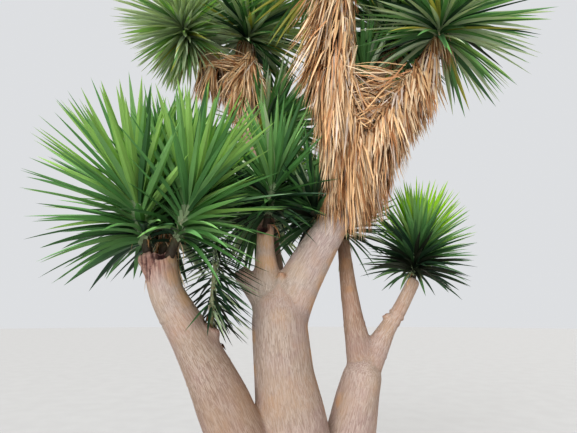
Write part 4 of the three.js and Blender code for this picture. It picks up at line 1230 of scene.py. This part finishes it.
def near_limb(place, rng):
    """A random place beside a stretch of a limb."""
    limb, stretch, aside, forward, above = place
    return LINES[limb].at(rng.uniform(*stretch))[0] + (rng.uniform(*aside), rng.uniform(*forward), above)


def fallen_strips(soup, sizes):
    """Loose dead leaves caught across the gap between the column's sleeve and the right one."""
    rng = np.random.default_rng(FALLEN_SEED)
    for _ in range(FALLEN_STRIPS):
        start, end = near_limb(FALLEN_FROM, rng), near_limb(FALLEN_TO, rng)
        if rng.random() < 0.5:
            start, end = end, start
        middle = (start + end) / 2 + (0, rng.uniform(*FALLEN_FORWARD), rng.uniform(*FALLEN_SAG))
        lying_strip(soup, start, middle, end, FALLEN_KIND, sizes, rng)


def fan_strips(soup, sizes):
    """The fan of stiff dead leaves that spreads from one place in front of the back limb."""
    rng = np.random.default_rng(FAN_SEED)
    s = STRIP_PLACES
    for _ in range(FAN_STRIPS):
        swing = rng.normal(*FAN_SWING)
        root = np.array(FAN_ROOT) + rng.normal(0, FAN_ROOT_SPREAD, 3)
        length = rng.uniform(*FAN_LENGTH) * math.exp(-((swing / FAN_NARROWING) ** 2))
        way = unit(np.array([math.sin(swing), -rng.uniform(*FAN_FORWARD), -math.cos(swing)]))
        points = root + np.outer(s * length, way) - np.outer(s**2 * length * FAN_BEND, (0, 0, 1))
        points = pushed_out(points, LIMB_BALLS, FAN_ROOM, 1)
        tone = straw_tone(rng, rng.uniform(*FAN_TONES))
        width = sizes.strip_width * rng.uniform(*FAN_WIDTHS)
        add_strip(soup, points, np.cross(way, (0, 1, 0)), width, rng, tone)
    for _ in range(CAUGHT_STRIPS):
        start = np.array(CAUGHT_FROM) + rng.normal(0, 1, 3) * CAUGHT_FROM_SPREAD
        end = np.array(CAUGHT_TO) + rng.normal(0, 1, 3) * CAUGHT_TO_SPREAD
        middle = (start + end) / 2 + (0, CAUGHT_FORWARD, rng.uniform(*CAUGHT_SAG))
        lying_strip(soup, start, middle, end, CAUGHT_KIND, sizes, rng)


def crown_litter(plans, soup, sizes):
    """Short dead leaves that cling to the lower part of each rosette's stem and over its limb's tip."""
    rng = np.random.default_rng(LITTER_SEED)
    s = STRIP_PLACES
    for plan in plans:
        count, turns, lengths, outs = MANY_LITTER if plan["name"] in LITTERED else FEW_LITTER
        for _ in range(count):
            turn = rng.uniform(*turns) * math.pi
            flat = np.array([math.cos(turn), math.sin(turn), 0.0])
            root = plan["line"].at(rng.uniform(*LITTER_PLACES))[0] + flat * plan["half"] * LITTER_ROOT_OUT
            length = plan["leaf"] * rng.uniform(*lengths)
            arch = np.sin(s * LITTER_ARCH) * length * rng.uniform(*outs) * LITTER_OUT_SHARE
            points = root + np.outer(arch, flat) - np.outer(s**LITTER_FALL * length, (0, 0, 1))
            points = pushed_out(points, LIMB_BALLS, STRIP_ROOM, 1)
            width = sizes.strip_width * rng.uniform(*LITTER_WIDTHS)
            tone = straw_tone(rng, rng.uniform(*LITTER_TONES))
            add_strip(soup, points, np.cross(flat, (0, 0, 1)), width, rng, tone)


# Materials


def add(tree, kind, inputs=(), **settings):
    """A node with its settings, and its inputs linked from a socket or set to a value."""
    made = tree.nodes.new(kind)
    for name, value in settings.items():
        setattr(made, name, value)
    for name, value in dict(inputs).items():
        if isinstance(value, bpy.types.NodeSocket):
            tree.links.new(value, made.inputs[name])
        else:
            made.inputs[name].default_value = value
    return made


def blend(tree, factor, a, b, mode="MIX"):
    """The colour between two colours, or what the second does to the first."""
    return add(tree, "ShaderNodeMix", {0: factor, 6: a, 7: b}, data_type="RGBA", blend_type=mode).outputs[2]


def maths(tree, kind, a, b):
    return add(tree, "ShaderNodeMath", {0: a, 1: b}, operation=kind).outputs[0]


def times(tree, a, b):
    return maths(tree, "MULTIPLY", a, b)


def vectors(tree, kind, a, b):
    """What comes of two vectors, or of a vector and a scale."""
    inputs = {0: a, "Scale" if kind == "SCALE" else 1: b}
    return add(tree, "ShaderNodeVectorMath", inputs, operation=kind).outputs[0]


def clouds(tree, place, scale, detail, rough=0.5):
    """Smooth noise from 0 to 1."""
    inputs = {"Vector": place, "Scale": scale, "Detail": detail, "Roughness": rough}
    return add(tree, "ShaderNodeTexNoise", inputs).outputs["Fac"]


def attribute(tree, name, output="Vector"):
    return add(tree, "ShaderNodeAttribute", attribute_name=name).outputs[output]


def ramp(tree, value, low, high, to_low=0.0, to_high=1.0):
    inputs = {"Value": value, "From Min": low, "From Max": high, "To Min": to_low, "To Max": to_high}
    return add(tree, "ShaderNodeMapRange", inputs, interpolation_type="SMOOTHSTEP").outputs["Result"]


def new_group(name, inputs, outputs):
    group = bpy.data.node_groups.new(name, "ShaderNodeTree")
    for label, kind, value in inputs:
        socket = group.interface.new_socket(label, in_out="INPUT", socket_type=kind)
        if value is not None:
            socket.default_value = value
    for label, kind in outputs:
        group.interface.new_socket(label, in_out="OUTPUT", socket_type=kind)
    return group, group.nodes.new("NodeGroupInput"), group.nodes.new("NodeGroupOutput")


def placed_group(tree, group, inputs):
    """The outputs of a node group that is placed in the tree."""
    return add(tree, "ShaderNodeGroup", inputs, node_tree=group).outputs


def lengthwise(group, given):
    """The given vector scaled for a pattern that is long along its third axis."""
    size = {"X": given["Across"], "Y": given["Across"], "Z": given["Along"]}
    return vectors(group, "MULTIPLY", given["Vector"], add(group, "ShaderNodeCombineXYZ", size).outputs[0])


def streak_group():
    """Long streaks along the third axis of a vector."""
    group, given, out = new_group(
        "Long Streaks",
        [
            ("Vector", "NodeSocketVector", None), ("Across", "NodeSocketFloat", 90.0),
            ("Along", "NodeSocketFloat", 9.0),
        ],
        [("Streaks", "NodeSocketFloat")],
    )
    group.links.new(clouds(group, lengthwise(group, given.outputs), *STREAK_CLOUDS), out.inputs["Streaks"])
    return group


def crack_group():
    """A net of thin cracks whose cells are long along the third axis, and a tone for each cell."""
    group, given, out = new_group(
        "Bark Cracks",
        [
            ("Vector", "NodeSocketVector", None), ("Across", "NodeSocketFloat", 60.0),
            ("Along", "NodeSocketFloat", 15.0), ("Wander", "NodeSocketFloat", 1.0),
        ],
        [("Gap", "NodeSocketFloat"), ("Plate", "NodeSocketFloat")],
    )
    place = lengthwise(group, given.outputs)
    sway = add(group, "ShaderNodeTexNoise", {"Vector": place, **CRACK_SWAY}).outputs["Color"]
    centred = vectors(group, "SUBTRACT", sway, (0.5, 0.5, 0.5))
    moved = vectors(group, "ADD", place, vectors(group, "SCALE", centred, given.outputs["Wander"]))
    edge = add(group, "ShaderNodeTexVoronoi", {"Vector": moved, "Scale": 1.0}, feature="DISTANCE_TO_EDGE")
    cell = add(group, "ShaderNodeTexVoronoi", {"Vector": moved, "Scale": 1.0}, feature="F1")
    tone = add(group, "ShaderNodeSeparateColor", {"Color": cell.outputs["Color"]}).outputs[0]
    group.links.new(edge.outputs["Distance"], out.inputs["Gap"])
    group.links.new(tone, out.inputs["Plate"])
    return group


def blade_group():
    """The look of a blade: veins along it, slow changes of its colour and painted shade at its root."""
    group, given, out = new_group(
        "Blade Veins",
        [
            ("Colour", "NodeSocketColor", (0.2, 0.3, 0.1, 1)), ("Vein", "NodeSocketFloat", 0.2),
            ("Mottle", "NodeSocketFloat", 0.3), ("Deep", "NodeSocketFloat", 0.0),
        ],
        [("Colour", "NodeSocketColor"), ("Height", "NodeSocketFloat"), ("Roughness", "NodeSocketFloat")],
    )
    given = given.outputs
    place = attribute(group, "blade")
    vein = clouds(group, vectors(group, "MULTIPLY", place, VEIN_SCALE), *VEIN_CLOUDS)
    mottle = clouds(group, vectors(group, "MULTIPLY", place, MOTTLE_SCALE), *MOTTLE_CLOUDS)
    run = add(group, "ShaderNodeSeparateXYZ", {"Vector": place}).outputs["Y"]
    lighter = blend(group, 1.0, given["Colour"], VEIN_TINT, "MULTIPLY")
    darker = blend(group, 1.0, given["Colour"], MOTTLE_TINT, "MULTIPLY")
    veined = times(group, ramp(group, vein, *VEIN_RAMP), given["Vein"])
    mottled = times(group, ramp(group, mottle, *MOTTLE_RAMP), given["Mottle"])
    colour = blend(group, mottled, blend(group, veined, given["Colour"], lighter), darker)
    shaded = blend(group, 1.0, colour, PAINTED_ROOT_TINT, "MULTIPLY")
    # Painted shade: darker towards the blade's root
    deep = times(group, ramp(group, run, *PAINTED_ROOT_RAMP), given["Deep"])
    group.links.new(blend(group, deep, colour, shaded), out.inputs["Colour"])
    group.links.new(vein, out.inputs["Height"])
    group.links.new(ramp(group, mottle, *BLADE_ROUGHNESS), out.inputs["Roughness"])
    return group


def new_material(name):
    made = bpy.data.materials.new(name)
    made.use_nodes = True
    tree = made.node_tree
    tree.nodes.clear()
    return made, tree


def finish_material(tree, shader):
    add(tree, "ShaderNodeOutputMaterial", {"Surface": shader})


def principled(tree, colour, roughness, bump, **more):
    """A plain surface with a bump, which is its strength, its depth and its height."""
    bump = add(tree, "ShaderNodeBump", dict(zip(("Strength", "Distance", "Height"), bump)))
    inputs = {"Base Color": colour, "Roughness": roughness, "Normal": bump.outputs[0], **more}
    return add(tree, "ShaderNodeBsdfPrincipled", inputs).outputs[0]


def bark_material(sizes, streaks, cracks):
    """The bark: tan and rosy, with pale-rimmed cracks, warm patches, specks and torn ends, and painted shade
    along the limbs and in the crevices.
    """
    made, tree = new_material("bark")
    place = attribute(tree, "bark_place")
    torn, hollow, warm, shade = (attribute(tree, name, "Fac") for name in ("torn", "hollow", "warm", "shade"))
    soft = placed_group(tree, streaks, {"Vector": place, **SOFT_STREAKS})["Streaks"]
    wide = placed_group(tree, cracks, {"Vector": place, **WIDE_CRACKS})
    fine = placed_group(tree, cracks, {"Vector": place, **FINE_CRACKS})
    broad = clouds(tree, place, *BROAD_CLOUDS)
    patch = clouds(tree, place, *PATCH_CLOUDS)
    speck = clouds(tree, place, *SPECK_CLOUDS)

    def mask(value, feature):
        return ramp(tree, value, *BARK_RAMPS[feature])

    rough_skin = maths(tree, "SUBTRACT", 1.0, times(tree, warm, SMOOTH_WARMTH))
    rough_skin = times(tree, rough_skin, mask(patch, "clean"))
    rim = times(tree, mask(wide["Gap"], "rim"), rough_skin)
    crack = times(tree, mask(fine["Gap"], "crack"), rough_skin)
    pink, tan, pale, dark, warmer = (
        (*getattr(sizes, "bark_" + name), 1) for name in ("pink", "tan", "pale", "dark", "warm")
    )
    raw = blend(tree, mask(soft, "raw"), RAW_DARK, RAW_PALE)
    colour = blend(tree, mask(broad, "tan"), pink, tan)
    for strength, layer, mode in (
        (mask(patch, "warm"), warmer, "MIX"),
        (times(tree, warm, WARM_STRENGTH), warmer, "MIX"),
        (mask(fine["Plate"], "plate"), pale, "MIX"),
        (mask(soft, "streak"), dark, "MIX"),
        (times(tree, rim, RIM_STRENGTH), pale, "MIX"),
        (times(tree, crack, CRACK_STRENGTH), dark, "MIX"),
        # Painted shade along the limbs
        (shade, PAINTED_SHADE_TINT, "MULTIPLY"),
        (mask(speck, "speck"), SPECK_BROWN, "MIX"),
        (times(tree, torn, TORN_STRENGTH), raw, "MIX"),
        # The cut ends' rotted hollows, and the painted shade in the crevices
        (times(tree, hollow, HOLLOW_STRENGTH), HOLLOW_BROWN, "MIX"),
    ):
        colour = blend(tree, strength, colour, layer, mode)
    height = times(tree, soft, STREAK_HEIGHT)
    for kind, part, share in (
        ("SUBTRACT", crack, CRACK_DEPTH), ("SUBTRACT", mask(wide["Gap"], "dent"), DENT_DEPTH),
        ("ADD", speck, SPECK_HEIGHT), ("ADD", times(tree, soft, torn), TORN_HEIGHT),
    ):
        height = maths(tree, kind, height, times(tree, part, share))
    bump = (*BARK_BUMP, height)
    shader = principled(tree, colour, mask(broad, "rough"), bump, **{"Specular IOR Level": BARK_GLOSS})
    finish_material(tree, shader)
    return made


def blade_material(name, colour, group, look, glow, gloss, deep=0.0):
    """A leaf's material: light that falls on its back shows through in its own green."""
    made, tree = new_material(name)
    vein, mottle = look
    blade = placed_group(tree, group, {"Colour": (*colour, 1), "Vein": vein, "Mottle": mottle, "Deep": deep})
    bump = (*BLADE_BUMP, blade["Height"])
    shader = principled(tree, blade["Colour"], blade["Roughness"], bump, **{"Specular IOR Level": gloss})
    if glow:
        through = blend(tree, 1.0, blade["Colour"], GLOW_TINT, "MULTIPLY")
        back = add(tree, "ShaderNodeBsdfTranslucent", {"Color": through}).outputs[0]
        shader = add(tree, "ShaderNodeMixShader", {0: glow, 1: shader, 2: back}).outputs[0]
    finish_material(tree, shader)
    return made


def stem_material(streaks):
    """The green stems: streaked, banded with brown, and dark at the foot, with brown leaf bases and painted
    shade.
    """
    made, tree = new_material("green_stem")
    place = attribute(tree, "blade")
    lines = placed_group(tree, streaks, {"Vector": place, **STEM_STREAKS})["Streaks"]
    bands = clouds(tree, place, *BAND_CLOUDS)
    height = add(tree, "ShaderNodeSeparateXYZ", {"Vector": place}).outputs["Z"]
    colour = blend(tree, ramp(tree, lines, *STEM_RAMP), STEM_DARK, STEM_PALE)
    colour = blend(tree, ramp(tree, bands, *BAND_RAMP), colour, STEM_BROWN)
    # Dark towards the foot: brown leaf bases with painted shade
    colour = blend(tree, ramp(tree, height, *STEM_FOOT_RAMP), colour, STEM_FOOT_BROWN_AND_SHADE)
    rough = ramp(tree, bands, *STEM_ROUGHNESS)
    finish_material(tree, principled(tree, colour, rough, (*STEM_BUMP, lines)))
    return made


def floor_material(colour):
    """The pale floor, very slightly mottled."""
    made, tree = new_material("pale_floor")
    grain = clouds(tree, add(tree, "ShaderNodeTexCoord").outputs["Object"], *FLOOR_CLOUDS)
    darker = tuple(part * FLOOR_DARKER for part in colour)
    shade = blend(tree, ramp(tree, grain, *FLOOR_RAMP), (*colour, 1), (*darker, 1))
    finish_material(tree, principled(tree, shade, FLOOR_ROUGHNESS, (*FLOOR_BUMP, grain)))
    return made


# Settings, operators and panel


def colour_setting(name, description, default):
    return FloatVectorProperty(name=name, description=description, default=default, size=3, subtype="COLOR")


def share_setting(name, description, default):
    return FloatProperty(name=name, description=description, default=default, min=0, max=1, subtype="FACTOR")


def length_setting(name, description, default, least):
    return FloatProperty(name=name, description=description, default=default, min=least, unit="LENGTH")


class YuccaWood(bpy.types.PropertyGroup):
    """Sizes and colours of the trunk and limbs"""

    voxel: length_setting("Skin Step", "Edge length of the wood's faces", 0.0094, 0.004)
    relief: FloatProperty(
        name="Relief", description="How strongly the bark stands out", default=1.0, min=0, subtype="FACTOR",
    )
    bark_pink: colour_setting("Pink Bark", "Rosy part of the bark", (0.515, 0.388, 0.360))
    bark_tan: colour_setting("Tan Bark", "Tan part of the bark", (0.535, 0.422, 0.350))
    bark_pale: colour_setting("Pale Rims", "Pale plates and rims of the cracks", (0.80, 0.71, 0.655))
    bark_dark: colour_setting("Dark Cracks", "Fine cracks and dark streaks", (0.20, 0.135, 0.110))
    bark_warm: colour_setting("Warm Patches", "Warm patches of the bark", (0.66, 0.41, 0.235))


class YuccaLeaves(bpy.types.PropertyGroup):
    """Sizes of the leaves"""

    leaf_width: length_setting("Leaf Width", "Width of the longest leaves", 0.047, 0.01)
    glow: share_setting("Glow", "How much light shows through a leaf", 0.22)
    gloss: share_setting("Gloss", "How shiny a leaf is", 0.35)


class YuccaThatch(bpy.types.PropertyGroup):
    """Sizes of the dry leaves"""

    strip_width: length_setting("Dry Leaf Width", "Width of a curled dead leaf", 0.0105, 0.004)


class YuccaStage(bpy.types.PropertyGroup):
    """The floor, the light and the camera"""

    floor: colour_setting("Floor", "Colour of the floor", (0.325, 0.338, 0.355))
    sky: colour_setting("Surroundings", "Colour all round", (1.0, 0.86, 0.72))
    sky_strength: FloatProperty(
        name="Surroundings Strength", description="Brightness all round", default=0.28, min=0,
    )
    backdrop: colour_setting("Backdrop", "Colour seen behind the tree", (0.62, 0.63, 0.645))
    front: FloatProperty(
        name="Front Light", description="Strength of the soft light from the front", default=2.1, min=0,
    )
    top: FloatProperty(name="Top Light", description="Strength of the light from above", default=2.9, min=0)
    back: FloatProperty(
        name="Back Light", description="Strength of the warmer light from behind", default=2.0, min=0,
    )
    lens: FloatProperty(
        name="Lens", description="Focal length of the camera", default=27.0, min=1, unit="CAMERA",
    )
    tilt: FloatProperty(
        name="Tilt", description="How far the camera looks up", default=math.radians(13), subtype="ANGLE",
    )
    eye: FloatVectorProperty(
        name="Camera Place", description="Where the camera stands", default=(-0.06, -2.35, 1.40),
        size=3, subtype="TRANSLATION",
    )


class YUCCA_OT_wood(bpy.types.Operator):
    """Build the trunk, the stems and the limbs with their bark"""

    bl_idname = "yucca.wood"
    bl_label = "Build Wood"

    def execute(self, context):
        sizes = context.scene.yucca_wood
        bark = bark_material(sizes, streak_group(), crack_group())
        wood_piece("trunk_and_stems", LOWER_LIMBS, True, sizes, bark)
        wood_piece("upper_limbs", UPPER_LIMBS, False, sizes, bark)
        return {"FINISHED"}


class YUCCA_OT_rosettes(bpy.types.Operator):
    """Build the rosettes of green leaves and their stems"""

    bl_idname = "yucca.rosettes"
    bl_label = "Build Rosettes"

    def execute(self, context):
        sizes = context.scene.yucca_leaves
        veins = blade_group()
        glow, gloss = sizes.glow, sizes.gloss
        greens = []
        for name, colour in GREENS.items():
            # How much painted shade darkens each green's root
            deep = ROOT_PAINTED_SHADE.get(name, USUAL_ROOT_PAINTED_SHADE)
            greens.append(blade_material(name, colour, veins, LEAF_LOOK, glow, gloss, deep))
        root = LEAF_ROOT_GREEN, veins, LEAF_ROOT_LOOK, LEAF_ROOT_GLOW, gloss
        greens.append(blade_material("leaf_base", *root))
        plans = rosette_plans()
        stems = Soup()
        box = np.array(CAD_BOX[0]) - BOX_SLACK, np.array(CAD_BOX[1]) + BOX_SLACK
        sleeves = [thatch_balls(plan) * (1, 1, 1, SLEEVE_SHARE) for plan in thatch_plans()]
        cleared = [[*middle, half] for middle, half in CLEARINGS]
        for index, plan in enumerate(plans):
            others = [balls(other["line"], [other["half"]]) for other in plans if other is not plan]
            limbs = LIMB_BALLS.copy()
            if plan["on_end"]:
                limbs[np.linalg.norm(limbs[:, :3] - plan["foot"], axis=1) < END_REACH, 3] *= END_SHARE
            rows = np.concatenate([limbs, cleared, *sleeves, *others])
            soup = Soup()
            rosette_leaves(plan, index, plans, rows, box, sizes, soup)
            mesh = soup.mesh("leaves_" + plan["name"], greens, "blade", LEAF_EDGE)
            placed_piece(mesh, [plan["name"]])
            stem_tube(plan, stems)
        mesh = stems.mesh("rosette_stems", [stem_material(bpy.data.node_groups["Long Streaks"])], "blade")
        placed_piece(mesh, [])
        return {"FINISHED"}


class YUCCA_OT_thatches(bpy.types.Operator):
    """Build the sleeves of dry hanging leaves"""

    bl_idname = "yucca.thatches"
    bl_label = "Build Dry Sleeves"

    def execute(self, context):
        sizes = context.scene.yucca_thatch
        veins = bpy.data.node_groups["Blade Veins"]
        look = STRAW_LOOK, STRAW_GLOW, STRAW_GLOSS
        straws = [blade_material(name, colour, veins, *look) for name, colour in STRAWS.items()]
        for index, plan in enumerate(thatch_plans()):
            soup = Soup()
            thatch_strips(plan, index, sizes, soup)
            if plan["name"] == "right_thatch":
                fallen_strips(soup, sizes)
            if plan["name"] == "back_thatch":
                fan_strips(soup, sizes)
            mesh = soup.mesh("dry_" + plan["name"], straws, "blade", STRIP_EDGE)
            placed_piece(mesh, [plan["name"]])
        litter = Soup()
        crown_litter(rosette_plans(), litter, sizes)
        placed_piece(litter.mesh("crown_litter", straws, "blade", STRIP_EDGE), [])
        return {"FINISHED"}


def floor_disc(colour):
    """A wide round floor at ground level."""
    ring = np.linspace(0, 2 * math.pi, FLOOR_SIDES, endpoint=False)
    rim = np.column_stack([FLOOR_RADIUS * np.cos(ring), FLOOR_RADIUS * np.sin(ring), np.zeros(FLOOR_SIDES)])
    mesh = bpy.data.meshes.new("floor")
    mesh.from_pydata(rim.tolist(), [], [list(range(FLOOR_SIDES))])
    mesh.materials.append(floor_material(colour))
    floor = bpy.data.objects.new("floor", mesh)
    bpy.context.scene.collection.objects.link(floor)


def surroundings(sizes):
    """Light from all round, with another colour where the camera sees it."""
    world = bpy.data.worlds.new("surroundings")
    world.use_nodes = True
    tree = world.node_tree
    tree.nodes.clear()
    light = add(tree, "ShaderNodeBackground", {"Color": (*sizes.sky, 1), "Strength": sizes.sky_strength})
    seen = add(tree, "ShaderNodeBackground", {"Color": (*sizes.backdrop, 1), "Strength": 1.0})
    direct = add(tree, "ShaderNodeLightPath").outputs["Is Camera Ray"]
    both = add(tree, "ShaderNodeMixShader", {0: direct, 1: light.outputs[0], 2: seen.outputs[0]})
    add(tree, "ShaderNodeOutputWorld", {"Surface": both.outputs[0]})
    return world


class YUCCA_OT_stage(bpy.types.Operator):
    """Set the floor, the light and the camera"""

    bl_idname = "yucca.stage"
    bl_label = "Set Stage"

    def execute(self, context):
        scene = context.scene
        sizes = scene.yucca_stage
        floor_disc(tuple(sizes.floor))
        scene.world = surroundings(sizes)
        for name, (way, spread, colour) in LIGHTS.items():
            data = bpy.data.lights.new(name + "_light", "SUN")
            data.energy, data.angle, data.color = getattr(sizes, name), math.radians(spread), colour
            lamp = bpy.data.objects.new(name + "_light", data)
            lamp.rotation_euler = Vector(way).to_track_quat("Z", "Y").to_euler()
            lamp.location = Vector(way) * LIGHT_DISTANCE
            scene.collection.objects.link(lamp)
        data = bpy.data.cameras.new("camera")
        data.lens, data.sensor_width = sizes.lens, SENSOR_WIDTH
        camera = bpy.data.objects.new("camera", data)
        camera.location = sizes.eye
        camera.rotation_euler = (math.pi / 2 + sizes.tilt, 0, 0)
        scene.collection.objects.link(camera)
        scene.camera = camera
        scene.view_settings.view_transform = "Standard"
        scene.view_settings.look = "Medium High Contrast"
        return {"FINISHED"}


class YUCCA_PT_panel(bpy.types.Panel):
    """The tree's settings and the operators that build it"""

    bl_idname = "YUCCA_PT_panel"
    bl_label = "Yucca Tree"
    bl_space_type = "VIEW_3D"
    bl_region_type = "UI"
    bl_category = "Yucca"

    def draw(self, context):
        for settings, operator in PARTS:
            box = self.layout.box()
            owner = getattr(context.scene, settings)
            for name in owner.__annotations__:
                box.prop(owner, name)
            box.operator(operator)


SETTINGS = {
    "yucca_wood": YuccaWood, "yucca_leaves": YuccaLeaves,
    "yucca_thatch": YuccaThatch, "yucca_stage": YuccaStage,
}
PARTS = [
    ("yucca_wood", "yucca.wood"), ("yucca_leaves", "yucca.rosettes"),
    ("yucca_thatch", "yucca.thatches"), ("yucca_stage", "yucca.stage"),
]
OPERATORS = [YUCCA_OT_wood, YUCCA_OT_rosettes, YUCCA_OT_thatches, YUCCA_OT_stage]
CLASSES = [*SETTINGS.values(), *OPERATORS, YUCCA_PT_panel]


def register():
    for cls in CLASSES:
        bpy.utils.register_class(cls)
    for name, cls in SETTINGS.items():
        setattr(bpy.types.Scene, name, PointerProperty(type=cls))


def unregister():
    for name in SETTINGS:
        delattr(bpy.types.Scene, name)
    for cls in reversed(CLASSES):
        bpy.utils.unregister_class(cls)


def main():
    register()
    bpy.ops.yucca.wood()
    bpy.ops.yucca.rosettes()
    bpy.ops.yucca.thatches()
    bpy.ops.yucca.stage()


if __name__ == "__main__":
    main()
